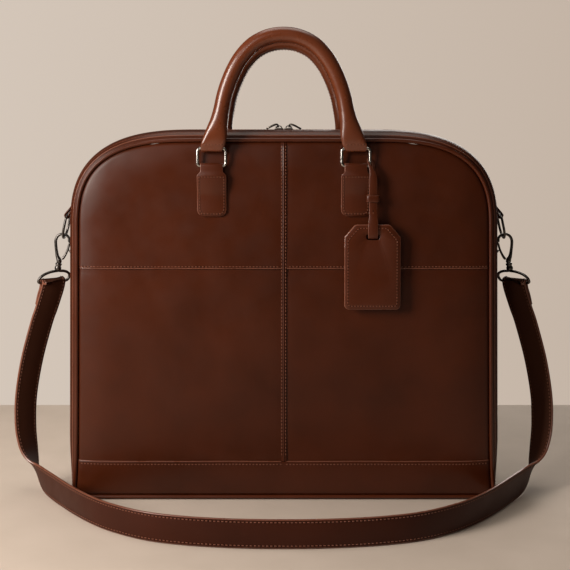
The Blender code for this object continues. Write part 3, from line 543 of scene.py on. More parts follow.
def quarter_grid(bottom, side, top, across, up):
    """Grid over the right half of a face from its lower edge, outer edge and upper edge."""
    left = resample([bottom[0], top[0]], up)
    return coons(resample(bottom, across), resample(side, up), resample(top, across), left)


def graded(length, count, start=True, end=True):
    """Fractions of a length that crowd at lapped or rolled edges."""
    close = np.array((0.0, 0.0005, 0.0011, 0.002, 0.0034)) / length
    inner = np.linspace(0.007 / length, 1.0 - 0.007 / length, count)
    low = close if start else np.array((0.0,))
    high = 1.0 - close[::-1] if end else np.array((1.0,))
    return np.concatenate((low, inner, high))


def sheet_on_face(grid, proud):
    """A thin closed sheet over a grid, lifted off the bag's face by proud."""
    rows, columns = grid.shape[:2]
    outer = face_depth(grid[..., 0], grid[..., 1]) + proud
    flat = grid.reshape(-1, 2)
    layers = [raised(flat, (outer - drop).reshape(-1)) for drop in (0.0, SHEET_THICK)]
    faces = []
    back = rows * columns
    for j in range(rows - 1):
        for i in range(columns - 1):
            a = j * columns + i
            quad = (a, a + 1, a + columns + 1, a + columns)
            faces.append(quad)
            faces.append(tuple(back + k for k in reversed(quad)))
    rim = list(range(columns))
    rim += [j * columns + columns - 1 for j in range(1, rows)]
    rim += [(rows - 1) * columns + i for i in range(columns - 2, -1, -1)]
    rim += [j * columns for j in range(rows - 2, 0, -1)]
    for k, a in enumerate(rim):
        b = rim[(k + 1) % len(rim)]
        faces.append((b, a, a + back, b + back))
    return np.vstack(layers), faces


def rounded_edge(distance, radius=0.0012):
    """How far a folded edge falls back at a distance from its rim."""
    t = np.clip(distance / radius, 0.0, 1.0)
    return -radius * (1.0 - np.sqrt(1.0 - (1.0 - t) ** 2))


INSET = OUTLINE - NORMALS * PANEL_INSET


def right_side(low, high_index=None, high=None):
    """The inset outline on the right from one height to an index or another height."""
    line = INSET[:len(RIGHT)]
    keep = [tuple(p) for n, p in enumerate(line) if n >= BASE_POINTS and p[1] > low
            and (high is None or p[1] < high) and (high_index is None or n <= high_index)]
    points = [(side_x(low) - PANEL_INSET, low), *keep]
    if high is not None:
        points.append((side_x(high) - PANEL_INSET, high))
    return np.array(points)


def upper_grid():
    side = right_side(SEAM_Z, CORNER_INDEX)
    over = [(0.0, TOP_Z - PANEL_INSET), *INSET[CORNER_INDEX:len(RIGHT) - 1][::-1]]
    across, up = graded(0.27, 44, start=False), graded(0.165, 34)
    return quarter_grid([(0.0, SEAM_Z), side[0]], side, over, across, up)


def lower_grid():
    low, high = BAND_Z - 0.006, SEAM_Z + 0.006
    side = right_side(low, high=high)
    across, up = graded(0.27, 44, start=False), graded(0.27, 44, False, False)
    return quarter_grid([(0.0, low), side[0]], side, [(0.0, high), side[-1]], across, up)


def band_grid():
    """The base band, whose lower right corner is the middle of the outline's base corner."""
    edge = INSET[:len(RIGHT)]
    side = [p for p in edge[FOOT_INDEX:] if p[1] < BAND_Z - 0.001] + [(side_x(BAND_Z) - PANEL_INSET, BAND_Z)]
    floor = edge[:FOOT_INDEX + 1].copy()
    floor[0, 0] = 0.0
    across, up = graded(0.27, 40, start=False), graded(0.05, 12)
    return quarter_grid(floor, side, [(0.0, BAND_Z), side[-1]], across, up)


def face_line(points, lift):
    """A line on the front face, with its depth and lift filled in."""
    points = np.array(points)
    return raised(points, face_depth(points[:, 0], points[:, 1]) + lift)


# --- shell of the bag ---


def crown_at(z):
    """How far the gusset bulges beyond the piping line; it flattens near the base."""
    t = np.clip(np.asarray(z) / 0.09, 0.0, 1.0)
    return 0.003 + (CROWN - 0.003) * (1.0 - (1.0 - t) ** 2)


def strip_points(y, share, extra):
    """A line round the sides and top at one depth of the gusset."""
    rows = np.arange(FIRST_SIDE - 4, LAST_SIDE + 5)
    distance = share * crown_at(OUTLINE[rows, 1]) + extra
    flat = OUTLINE[rows] + NORMALS[rows] * distance[:, None]
    return np.stack((flat[:, 0], np.full(len(rows), y), flat[:, 1]), axis=1), NORMALS[rows]


def shell_strip(profile):
    """Closed strip round the sides and top; profile rows are (depth, share of crown, extra)."""
    lines = np.array([strip_points(-y, share, extra)[0] for y, share, extra in profile])
    size, count = lines.shape[:2]
    return lines.transpose(1, 0, 2).reshape(-1, 3), loft_faces(count, size)


def gusset_share(y):
    """Share of the crown that the gusset has reached at a depth."""
    return float(np.interp(y, (0.0062, 0.018, 0.03, 0.042, 0.049, 0.0521), (0.96, 1.0, 0.98, 0.8, 0.46, 0.1)))


def gusset_profile():
    keys = [(0.0521, 0.1), (0.049, 0.46), (0.042, 0.8), (0.03, 0.98), (0.018, 1.0), (0.0064, 0.96)]
    outer = smooth_path(keys, 5)
    rows = [(y, share, 0.0) for y, share in outer]
    rows += [(0.0058, 0.96, -0.0005), (0.0058, 0.96, -0.0013)]
    rows += [(y, share, -0.0018) for y, share in outer[::-3]]
    return rows


TAPE_PROFILE = [
    (0.011, 0.97, -0.0021), (0.0056, 0.96, -0.0021), (0.0044, 0.96, -0.0016), (0.0032, 0.96, -0.0014),
    (0.0014, 0.96, -0.0014), (0.0014, 0.96, -0.0024), (0.011, 0.97, -0.0031),
]


def zip_teeth():
    """Interlocked teeth along one edge of the chain."""
    line, normals = strip_points(-0.0006, 0.96, -0.0011)
    along = run_lengths(line)
    parts = []
    for n in range(int(along[-1] / TOOTH_PITCH)):
        spot, flat = (read_at(rows, along, (n + 0.5) * TOOTH_PITCH) for rows in (line, normals))
        flat = unit(flat)
        path = [spot + np.array((0.0, y, 0.0)) for y in (-0.0016, -0.001, 0.0003)]
        sections = [rounded_bar(w, 0.00062, 0.00022, 1) for w in (0.00045, 0.00062, 0.00055)]
        points, faces = sweep(path, (flat[1], 0.0, -flat[0]), sections)
        parts.append((points + np.array((flat[0], 0.0, flat[1])) * 0.0002, faces))
    return join(parts)


def lining_tray():
    """The fabric tray inside one half: a plate with a wall all round it."""
    outer, inner = OUTLINE - NORMALS * 0.0046, OUTLINE - NORMALS * 0.0056
    outer[:, 1] = np.maximum(outer[:, 1], 0.0075)
    inner[:, 1] = np.maximum(inner[:, 1], 0.0085)
    middle = np.array((0.0, 0.24))
    rings = [(middle + (outer - middle) * s, LINING_Y) for s in (0.02, 0.5, 1.0)]
    rings += [(outer, 0.0042), (outer - NORMALS * 0.0005, 0.0038), (inner, 0.0042), (inner, LINING_Y - 0.004)]
    rings += [(middle + (inner - middle) * s, LINING_Y - 0.001) for s in (0.985, 0.5, 0.02)]
    return np.vstack([raised(flat, y) for flat, y in rings]), loft_faces(len(rings), COUNT)


def panel_pieces(put, body):
    """Upper and lower face panels, the base band and the welt down the middle."""
    for part, grid in (("upper", upper_grid()), ("lower", lower_grid())):
        x, z = grid[..., 0], grid[..., 1]
        if part == "upper":
            proud = 0.0011 * np.exp(-(z - SEAM_Z) / 0.02) + rounded_edge(z - SEAM_Z)
            proud -= 0.0012 * np.exp(-((x - DENT_X) / DENT_RADIUS) ** 2 - ((z - DENT_Z) / DENT_RADIUS) ** 2)
        else:
            proud = -0.001 * sum(np.exp(-np.abs(z - seam) / 0.007) for seam in (SEAM_Z, BAND_Z))
        points, faces = sheet_on_face(grid, proud - 0.0009 * np.exp(-(x / 0.007) ** 2))
        for side, placed in (("right", points), ("left", mirrored(points))):
            put(f"{part}_face_{side}", (placed, faces), LEATHER, body, "leather", [f"{part}_panel_{side}"])
    grid = band_grid()
    grid = np.concatenate((grid[:, :0:-1] * np.array((-1.0, 1.0)), grid), axis=1)
    below = BAND_Z - grid[..., 1]
    band = sheet_on_face(grid, 0.0009 * np.exp(-below / 0.018) + rounded_edge(below))
    put("band", band, LEATHER, body, "leather", ["base_band"])

    shares = np.array((0.0, 0.15, 0.3, 0.5, 0.8, 0.92, 1.0))
    columns = WELT_HALF * np.concatenate((-shares[:0:-1], shares))
    grid = np.stack(np.meshgrid(columns, WELT_HEIGHTS), axis=-1)
    x = np.abs(grid[..., 0])
    ridge = 0.0009 * np.exp(-(x / 0.001) ** 2)
    welt = sheet_on_face(grid, 0.0004 + ridge + rounded_edge(WELT_HALF - x, 0.0006))
    put("welt", welt, LEATHER, body, "trim_leather", ["centre_welt"])


def folded_edges():
    """Thin beads where the panels, the band and the gusset are turned over; their light colour is a painted
    highlight along the folds.
    """
    beads = []
    for height, inset in ((SEAM_Z, 0.0048), (BAND_Z, 0.0045)):
        for direction in (-1.0, 1.0):
            span = np.linspace(WELT_HALF, side_x(height) - inset, 60) * direction
            line = face_line([(x, height + 0.0003) for x in span], 0.0006)
            beads.append(wire(line, 0.0006, side=(0.0, 0.0, 1.0), sides=8))
    line, _ = strip_points(-0.0492, gusset_share(0.0492), 0.0001)
    beads.append(wire(line, 0.0007, sides=8))
    return join(beads)


def shell_stitches():
    """Rows beside the welt, above the cross seam, below the band's edge and round the gusset."""
    rows = [stitch_row(face_line([(x, z) for z in WELT_HEIGHTS[2:-1]], 0.0006), FRONT) for x in (-0.0026, 0.0026)]
    for direction in (-1.0, 1.0):
        for seam, z, start, inset, lift in ((SEAM_Z, SEAM_Z + 0.0025, 0.006, 0.0048, 0.001),
                                            (BAND_Z, BAND_Z - 0.0036, 0.002, 0.006, 0.0007)):
            span = np.linspace(start, side_x(seam) - inset, 80) * direction
            rows.append(stitch_row(face_line([(x, z) for x in span], lift), FRONT))
    for depth in (0.0445, 0.0092):
        line, flat = strip_points(-depth, gusset_share(depth), 0.0001)
        rows.append(stitch_row(line, raised(flat, 0.0)))
    return stitches(rows)


def shell_pieces(label, body, sign):
    """Everything sewn into one half of the bag."""
    put = piece_maker(f"{label}_%s", lambda points: facing(points, sign))
    panel_pieces(put, body)
    piping = wire(raised(OUTLINE, PIPING_Y), PIPING_RADIUS, closed=True)
    put("piping_cord", piping, TRIM, body, "trim_leather", ["piping"])
    put("gusset_leather", shell_strip(gusset_profile()), LEATHER, body, "leather", ["gusset"])
    put("tape", shell_strip(TAPE_PROFILE), TAPE, body, "zip_tape", ["zip_tape"])
    put("teeth", zip_teeth(), ZIP_METAL, body, "zip_metal")
    put("tray", lining_tray(), LINING, body, "lining", ["lining"])
    # Light beads along the folds: painted highlight
    put("folded_edges", folded_edges(), EDGE_PAINT_HIGHLIGHT, body, "trim_leather")
    put("stitching", shell_stitches(), SEWN, body, "leather")


# --- rings, patches, handles ---


def ring_path(centre_x):
    """Rounded rectangle through the middle of the ring's wire."""
    flat = rounded_bar(RING_HALF_WIDTH, (RING_HIGH_Z - RING_LOW_Z) / 2, 0.0042, 8)
    return raised(flat + np.array((centre_x, (RING_HIGH_Z + RING_LOW_Z) / 2)), RING_Y)


def patch_keys():
    """Middle of the patch's leather in side view, from its foot up and over the ring's bar."""
    turn = RING_WIRE + 0.0012
    front = RING_Y + turn
    keys = [(0.0636, PATCH_FOOT_Z), (0.064, 0.38), (0.064, 0.386), (0.0641, 0.4), (0.0648, 0.408),
            (0.0672, 0.418), (front - 0.0002, 0.429), (front, 0.437), (front, RING_LOW_Z)]
    for k in range(1, 9):
        angle = math.pi * k / 8
        keys.append((RING_Y + turn * math.cos(angle), RING_LOW_Z + turn * math.sin(angle)))
    return keys + [(0.0637, 0.435), (0.064, 0.429), (0.064, 0.42)]


def patch_width(z, neck_only):
    """Half width of the patch: rounded at its foot, then drawn in to its neck."""
    if neck_only:
        return NECK_HALF
    flare = float(np.clip((0.4365 - z) / 0.006, 0.0, 1.0))
    flare = flare * flare * (3.0 - 2.0 * flare)
    rise = min(max(z - PATCH_FOOT_Z, 0.0), PATCH_CORNER)
    corner = PATCH_CORNER - math.sqrt(max(PATCH_CORNER ** 2 - (PATCH_CORNER - rise) ** 2, 0.0))
    return NECK_HALF + 0.0045 * flare - corner


def patch_sheet(centre_x):
    """The patch's leather; the third number of each row counts the keys passed."""
    rows = smooth_path([(y, z, float(n)) for n, (y, z) in enumerate(patch_keys())], 5)
    foot = np.array([(0.0636, PATCH_FOOT_Z + rise, 0.0) for rise in (0.0, 0.0004, 0.001, 0.002)])
    rows = np.vstack((foot, rows[1:][rows[1:, 1] > PATCH_FOOT_Z + 0.0021]))
    path = [(centre_x, -y, z) for y, z, _ in rows]
    sections = [rounded_bar(patch_width(z, n > 8.0), 0.0011 if n < 7 else 0.0009, 0.0006, 2) for _, z, n in rows]
    return (*sweep(path, (1.0, 0.0, 0.0), sections), strip_slots(len(path), False))


def patch_stitches(centre_x):
    """Row inside the patch's edge and across its neck."""
    inset, left = 0.003, []
    rows = smooth_path(patch_keys()[:8], 6)
    rows = rows[(rows[:, 1] > PATCH_FOOT_Z + inset) & (rows[:, 1] < 0.4305)]
    for y, z in rows:
        corner = max(0.006 - (z - PATCH_FOOT_Z - inset), 0.0)
        half = patch_width(max(z, PATCH_FOOT_Z + PATCH_CORNER), False) - inset - corner * 0.6
        left.append((half, -y - 0.0012, z))
    loop = np.vstack((left, mirrored(left[::-1]))) + np.array((centre_x, 0.0, 0.0))
    return stitch_row(loop, FRONT, *PATCH_STITCH, closed=True)


def handle_rows():
    """Handle from its left tab to its right tab.

    Each row is x, depth off the ring's plane, z, half width, half thickness and flatness.
    """
    turn = RING_WIRE + 0.0015
    keys = [(TAB_X, -turn, RING_HIGH_Z + h, 0.0136, 0.0012, 1.0) for h in (0.0165, 0.006, 0.0)]
    for k in range(1, 6):
        angle = math.pi * k / 6
        keys.append((TAB_X, -turn * math.cos(angle), RING_HIGH_Z - turn * math.sin(angle), 0.0137, 0.0012, 1.0))
    keys += [(TAB_X, turn, RING_HIGH_Z, 0.0148, 0.0014, 1.0), (TAB_X, 0.0042, 0.4712, 0.0159, 0.0028, 0.9),
             (TAB_X, 0.0042, 0.4775, 0.0157, 0.0046, 0.6), (TAB_X, 0.0034, 0.485, 0.0149, 0.0064, 0.3),
             (-0.0848, 0.0022, 0.4935, 0.0135, 0.0082, 0.1), (-0.0837, 0.0009, 0.503, 0.0118, 0.0096, 0.02)]
    arch = ((-0.0812, 0.516), (-0.0775, 0.534), (-0.0722, 0.551), (-0.064, 0.57),
            (-0.054, 0.5862), (-0.0395, 0.6012), (-0.0205, 0.6108), (0.0, 0.6138))
    keys += [(x, 0.0, z, HANDLE_RADIUS + 0.0003 * (z < 0.52), HANDLE_RADIUS, 0.0) for x, z in arch]
    keys += [(-x, depth, z, w, t, f) for x, depth, z, w, t, f in reversed(keys[:-1])]
    return smooth_path(keys, 5)


def handle_frames():
    """Rows, centre line and width directions of the handle; its flat tabs keep square to the bag."""
    rows = handle_rows()
    path = np.stack((rows[:, 0], -RING_Y - rows[:, 1], rows[:, 2]), axis=1)
    sides = np.cross((0.0, 1.0, 0.0), np.gradient(path, axis=0))
    loop = rows[:, 5] > 0.6
    sides[loop] = np.where(rows[loop, :1] < 0.0, (1.0, 0.0, 0.0), (-1.0, 0.0, 0.0))
    return rows, path, sides


def tab_spread(z):
    """How far the handle's ends run outwards to meet the rings."""
    return 0.009 * np.clip((0.506 - z) / 0.042, 0.0, 1.0) ** 1.4


def handle_body():
    """The roll, round in the middle and squared off towards its tabs."""
    rows, path, sides = handle_frames()
    ring = circle(28)
    square = 1.0 / np.abs(ring).max(axis=1) ** 0.88
    sections = [ring * (1.0 - flat + flat * square)[:, None] * np.array((half_width, half_thick))
                for _, _, _, half_width, half_thick, flat in rows]
    points, faces = sweep(path, sides, sections)
    points[:, 0] += np.sign(points[:, 0]) * tab_spread(points[:, 2])
    return points, faces


def handle_stitches():
    """Closing seam along the inside of the roll, and a short row on each tab."""
    rows, path, sides = handle_frames()
    tube = rows[:, 5] < 0.05
    inward, path = frames_along(path, sides)[0][tube], path[tube]
    inward *= -np.sign(np.sum(inward * (path - np.array((0.0, -RING_Y, 0.5))), axis=1, keepdims=True))
    parts = [stitch_row(path + inward * (HANDLE_RADIUS + 0.0002), inward)]
    for centre in (-RING_X, RING_X):
        tab = [(centre * 0.98 + x, -RING_Y - 0.0069, 0.4712) for x in np.linspace(-0.0125, 0.0125, 12)]
        parts.append(stitch_row(tab, FRONT, 0.0036, 0.0024, 0.0005))
    return stitches(parts)


def carry_pieces(label, half, rings, handle, sign):
    """Rings, patches and handle of one face."""
    put = piece_maker(f"{label}_%s", lambda points: facing(points, sign))
    for side, x in (("left", -RING_X), ("right", RING_X)):
        ring = wire(ring_path(x), RING_WIRE + 0.0003, closed=True)
        put(f"ring_wire_{side}", ring, NICKEL, rings, "ring_metal", [f"ring_{side}"])
        put(f"patch_leather_{side}", patch_sheet(x), TRIM_AND_EDGE_HIGHLIGHT, half, "trim_leather", [f"patch_{side}"])
        put(f"patch_stitching_{side}", stitches([patch_stitches(x)]), SEWN, half, "trim_leather")
    put("handle_roll", handle_body(), HANDLE, handle, "trim_leather", ["handle"])
    put("handle_stitching", handle_stitches(), SEWN, handle, "trim_leather")


# --- luggage tag ---


def tag_outline(inset=0.0):
    """Tag seen from the front, with cut top corners and rounded foot corners."""
    half, foot, top = TAG_HALF - inset, TAG_FOOT_Z + inset, TAG_TOP_Z - inset
    turn = 0.0065 - inset * 0.6
    points = [(0.0, top), (half - 0.0155, top), (half - 0.013, top - 0.001),
              (half, top - 0.016), (half, 0.33), (half, 0.29)]
    for k in range(7):
        angle = math.radians(-15.0 * k)
        points.append((half - turn + turn * math.cos(angle), foot + turn + turn * math.sin(angle)))
    points += [(0.018, foot), (0.0, foot)]
    points += [(-x, z) for x, z in points[-2:0:-1]]
    return np.roll(points, -3, axis=0) + np.array((TAG_X, 0.0))


def slot_loop(reach_x, reach_z, around):
    points = []
    for x, z in around:
        angle = math.atan2((z - SLOT_Z) * 0.3, x - TAG_STRAP_X)
        reach = 1.0 / (abs(math.cos(angle) / reach_x) ** 6 + abs(math.sin(angle) / reach_z) ** 6) ** (1.0 / 6.0)
        points.append((TAG_STRAP_X + reach * math.cos(angle), SLOT_Z + reach * math.sin(angle)))
    return np.array(points)


def tag_plate():
    """Two-layer leather tag with rounded edges and a slot for its strap."""
    around = tag_outline()
    rings = [(tag_outline(lip), depth) for depth, lip in
             ((0.002, 0.0009), (0.0016, 0.0003), (0.0, 0.0), (-0.0016, 0.0003), (-0.002, 0.0009))]
    slot = [(slot_loop(0.0084 + lip, 0.0043 + lip, around), depth) for depth, lip in
            ((-0.002, 0.0012), (-0.0014, 0.0004), (0.0014, 0.0004), (0.002, 0.0012))]
    middle = tag_outline(0.0075)
    rings += [(middle, -0.0022), *slot, (middle, 0.0022)]
    points = np.vstack([raised(flat, depth - TAG_Y) for flat, depth in rings])
    count = len(around)
    return points, loft_faces(len(rings), count, closed=True), [int(n < 4 * count) for n in range(len(points))]


def tag_strap_rows():
    """Closed strap: thin where it passes round the ring, flat where it carries the tag.

    Each row is x, y, z, half width and the direction across the strap.
    """
    hanging = [(-0.073, 0.428, 0.0048), (-0.073, 0.41, 0.005), (-0.073, 0.39, 0.005),
               (-0.0738, 0.378, 0.0052), (-0.0755, 0.369, 0.0062), (-0.0756, 0.357, 0.0064),
               (-0.0745, 0.3508, 0.0062), (-0.072, 0.3494, 0.006), (-0.0695, 0.3508, 0.006),
               (-0.0684, 0.357, 0.006), (-0.0685, 0.369, 0.0055), (-0.0702, 0.378, 0.005),
               (-0.071, 0.39, 0.005), (-0.071, 0.41, 0.005), (-0.0708, 0.426, 0.0044)]
    round_ring = [(0.1166, -0.0686, 0.438, 0.0024, 1.0, 0.0, 0.1), (0.1167, -0.0652, 0.4455, 0.0012, 0.8, 0.2, 0.5),
                  (0.1136, -0.0627, 0.4505, 0.0011, 0.3, 0.3, 0.9), (0.1095, -0.064, 0.452, 0.001, 0.0, 0.1, 1.0),
                  (0.109, -0.067, 0.4505, 0.001, 0.5, 0.0, 0.9), (0.1104, -0.0702, 0.4465, 0.0012, 0.8, 0.1, 0.5),
                  (0.114, -0.0722, 0.438, 0.0028, 1.0, 0.0, 0.1)]
    keys = [(TAG_STRAP_X, y, z, half, 1.0, 0.0, 0.0) for y, z, half in hanging]
    return smooth_path(keys + round_ring, 4, closed=True)


def tag_pieces():
    """The tag with its strap, its keeper and its stitching."""
    body = "luggage_tag"
    rows = tag_strap_rows()
    sections = [rounded_bar(half, 0.0008 if half > 0.0035 else 0.0006, 0.0004, 2) for half in rows[:, 3]]
    strap = sweep(rows[:, :3], rows[:, 4:7], sections, closed=True)
    make_piece("tag_strap_leather", (*strap, strip_slots(len(rows), True)), TRIM_AND_EDGE_HIGHLIGHT, body,
               ["tag_strap"])
    path = []
    for x, y in circle(24):
        reach = 1.0 / (abs(x) ** 5 + abs(y) ** 5) ** 0.2
        path.append((TAG_STRAP_X + 0.008 * reach * x, TAG_Y + 0.0032 * reach * y, 0.401))
    keeper = sweep(path, (0.0, 0.0, 1.0), rounded_bar(0.0042, 0.0006, 0.0003, 2), closed=True)
    make_piece("tag_keeper_band", (*keeper, strip_slots(len(path), True)), TRIM_AND_EDGE_HIGHLIGHT, body,
               ["tag_keeper"])
    make_piece("tag_leather", tag_plate(), TRIM_AND_EDGE_HIGHLIGHT, body, ["tag_body"])
    flat = tag_outline(0.0048)
    legs = [(TAG_STRAP_X, -0.074, z) for z in (0.38, 0.385)]
    parts = [stitch_row(raised(flat, 0.0021 - TAG_Y), FRONT, *PATCH_STITCH, closed=True),
             stitch_row(raised(flat, -0.0021 - TAG_Y), (0.0, 1.0, 0.0), *PATCH_STITCH, closed=True),
             stitch_row(legs, FRONT, *FINE_STITCH)]
    make_piece("tag_stitching", stitches(parts), SEWN, body)


# --- zip pulls ---


def slider_pieces(side, sign):
    """Slider with its bridge, and the pull that turns on it."""
    def put(name, shape, node):
        body = f"zip_{name.split('_')[0]}_{side}"
        make_piece(f"{name}_{side}", shape, ZIP_METAL, body, [f"{node}_{side}"])

    def beside(x, y, z):
        return (sign * (SLIDER_X + x), y, ZIP_Z + z)

    rows = smooth_path([(-0.006, 0.0022, 0.0007), (-0.005, 0.0036, 0.0011), (-0.002, 0.0044, 0.0013),
                        (0.002, 0.0043, 0.0013), (0.0046, 0.0034, 0.0011), (0.0058, 0.0022, 0.0007)], 4)
    path = [beside(x, 0.0, 0.0009) for x in rows[:, 0]]
    put("slider_plate", sweep(path, ACROSS, [rounded_bar(w, t, t * 0.7) for _, w, t in rows]), "zip_slider")
    turns = np.linspace(0.0, math.pi, 17)
    path = [beside(-0.0036 * sign * math.cos(a), 0.0, 0.0022 + 0.003 * math.sin(a)) for a in turns]
    put("slider_bridge", wire(path, 0.0006 + 0.0002 * np.abs(np.cos(turns)), sides=10), "zip_bridge")
    arc = smooth_path([(0.001, 0.0044, 0.0008), (0.0014, 0.006, 0.0022), (0.003, 0.0071, 0.0034),
                       (0.006, 0.0066, 0.004), (0.0095, 0.005, 0.004), (0.0128, 0.0031, 0.0034),
                       (0.0152, 0.0019, 0.0024), (0.0162, 0.0016, 0.001)], 4)
    loop = [beside(x, -y, z) for x, z, y in arc] + [beside(x, y, z) for x, z, y in arc[::-1]]
    web = smooth_path([(0.003, 0.0067), (0.006, 0.0058), (0.01, 0.004), (0.015, 0.0017)], 4)
    plate = sweep([beside(x, 0.0, z) for x, z in web], ACROSS, rounded_bar(0.003, 0.0007, 0.0004, 2))
    put("pull_plate", join([wire(loop, 0.0013, closed=True, side=UP), plate]), "zip_pull")
    eye = [beside(0.0024 + 0.0024 * x, 0.0022 * y, 0.0035) for x, y in circle(20)]
    put("pull_eye", wire(eye, 0.00055, closed=True, side=UP, sides=10), "zip_eye")


# --- D-rings, hooks and strap ---


def tilted(x, z, pivot, angle):
    """A flat point turned about the Y axis so that its lower end leans outwards."""
    cos, sin = math.cos(angle), math.sin(angle)
    return (pivot[0] + x * cos + z * sin, pivot[2] - x * sin + z * cos)


def d_ring_path():
    """D-ring in a plane that leans outwards, its straight bar uppermost."""
    drop, bend = D_HEIGHT - D_RADIUS, 0.004
    end = D_RADIUS - bend
    corner = [(end + bend * math.sin(a), bend * math.cos(a) - bend) for a in np.linspace(0.3, 1.57, 5)]
    flat = [(y, 0.0) for y in np.linspace(-end, end, 8)] + corner
    flat += [(D_RADIUS * math.cos(a), -drop - D_RADIUS * math.sin(a)) for a in np.linspace(0.0, math.pi, 25)]
    flat += [(-y, z) for y, z in reversed(corner)]
    path = []
    for y, z in flat:
        x, height = tilted(0.0, z, (BAR_X, 0.0, BAR_Z), D_TILT)
        path.append((x, SIDE_Y + y, height))
    return path


def tab_path():
    """Middle of the leather tab in side view, down, round the D-ring's bar and up again."""
    turn = D_WIRE + 0.0011
    keys = [(-0.2868, 0.402), (-0.2868, 0.393), (-0.289, 0.384), (BAR_X + turn, BAR_Z + 0.003)]
    keys += [(BAR_X + turn * math.cos(a), BAR_Z - turn * math.sin(a)) for a in np.linspace(0.0, math.pi, 9)]
    keys += [(BAR_X - turn, BAR_Z + 0.003), (-0.2917, 0.385), (-0.2888, 0.393), (-0.2888, 0.402)]
    return [(x, SIDE_Y, z) for x, z in smooth_path(keys, 4)]


HOOK_TOP = (BAR_X - D_HEIGHT * math.sin(D_TILT), SIDE_Y,
            BAR_Z - D_HEIGHT * math.cos(D_TILT) + D_WIRE + 0.001 + HOOK_WIRE)


def hook_point(x, z):
    px, pz = tilted(x, z, HOOK_TOP, HOOK_TILT)
    return np.array((px, SIDE_Y, pz))


SWIVEL_TOP = hook_point(0.0, -0.0402)
SWIVEL_DOWN = np.array((-math.sin(HOOK_TILT), 0.0, -math.cos(HOOK_TILT)))


# Pear-shaped hook from its barrel up the outer side, over the top and down to its nose
HOOK_KEYS = [(0.0, -0.0404, 0.0028), (0.0, -0.038, 0.0036), (-0.001, -0.0352, 0.0034),
             (-0.0036, -0.0312, 0.0026), (-0.0062, -0.024, 0.0021), (-0.0084, -0.0165, 0.002),
             (-0.0096, -0.0098, 0.002), (-0.008, -0.0038, 0.0019), (-0.004, -0.0004, 0.0018),
             (0.0, 0.0, 0.0018), (0.004, -0.0004, 0.0018), (0.0078, -0.0036, 0.0019),
             (0.0092, -0.008, 0.0021), (0.0094, -0.0094, 0.0017)]
# Sprung gate and its thumb knob
GATE_KEYS = [(0.003, -0.0338, 0.0014), (0.0046, -0.0326, 0.0018), (0.007, -0.0268, 0.0016),
             (0.0089, -0.019, 0.0015), (0.0096, -0.0112, 0.0015), (0.0096, -0.0103, 0.001)]
KNOB_KEYS = [(0.0096, -0.0203, 0.001), (0.011, -0.0207, 0.001), (0.0119, -0.021, 0.0018),
             (0.0132, -0.0213, 0.0021), (0.014, -0.0215, 0.0012)]


def hook_part(keys, steps):
    """Round wire of the hook; its keys are x, z from the hook's top, and radius."""
    rows = smooth_path(keys, steps)
    return wire([hook_point(x, z) for x, z, _ in rows], rows[:, 2])


def lathe(profile, top, down, turns=24):
    """A (radius, distance) profile turned about an axis that starts at top."""
    across = unit(np.cross(down, ACROSS))
    forward = np.cross(down, across)
    spokes = [across * x + forward * y for x, y in circle(turns)]
    points = [top + down * distance + spoke * radius for radius, distance in profile for spoke in spokes]
    return points, loft_faces(len(profile), turns)


BARREL = [(0.0024, -0.0002), (0.0038, 0.0002), (0.0044, 0.001), (0.0045, 0.0022), (0.0038, 0.003),
          (0.0036, 0.0038), (0.0037, 0.0047), (0.0044, 0.0055), (0.0046, 0.0068), (0.0045, 0.0086),
          (0.004, 0.0096), (0.0032, 0.01), (0.002, 0.01), (0.002, 0.003)]


def swivel_loop():
    """One bent wire: a post inside the barrel and a rectangular loop for the strap."""
    top = SWIVEL_TOP + SWIVEL_DOWN * 0.0112
    drop = LOOP_BAR - top
    shoulder = [(0.01, 0.06), (0.0165, 0.2), (LOOP_HALF * 0.93, 0.42), (LOOP_HALF, 0.72),
                (LOOP_HALF - 0.0034, 1.0)]
    bent = [(0.0036, 0.01), *shoulder, (0.0, 1.0), *((-x, fall) for x, fall in reversed(shoulder)),
            (-0.004, 0.01), (0.0006, 0.0)]
    keys = [SWIVEL_TOP + SWIVEL_DOWN * depth for depth in (0.0038, 0.0075, 0.0098)]
    keys += [top + LOOP_ALONG * x + drop * fall for x, fall in bent]
    return wire(smooth_path(keys, 6), 0.0019, side=np.cross(LOOP_ALONG, UP))


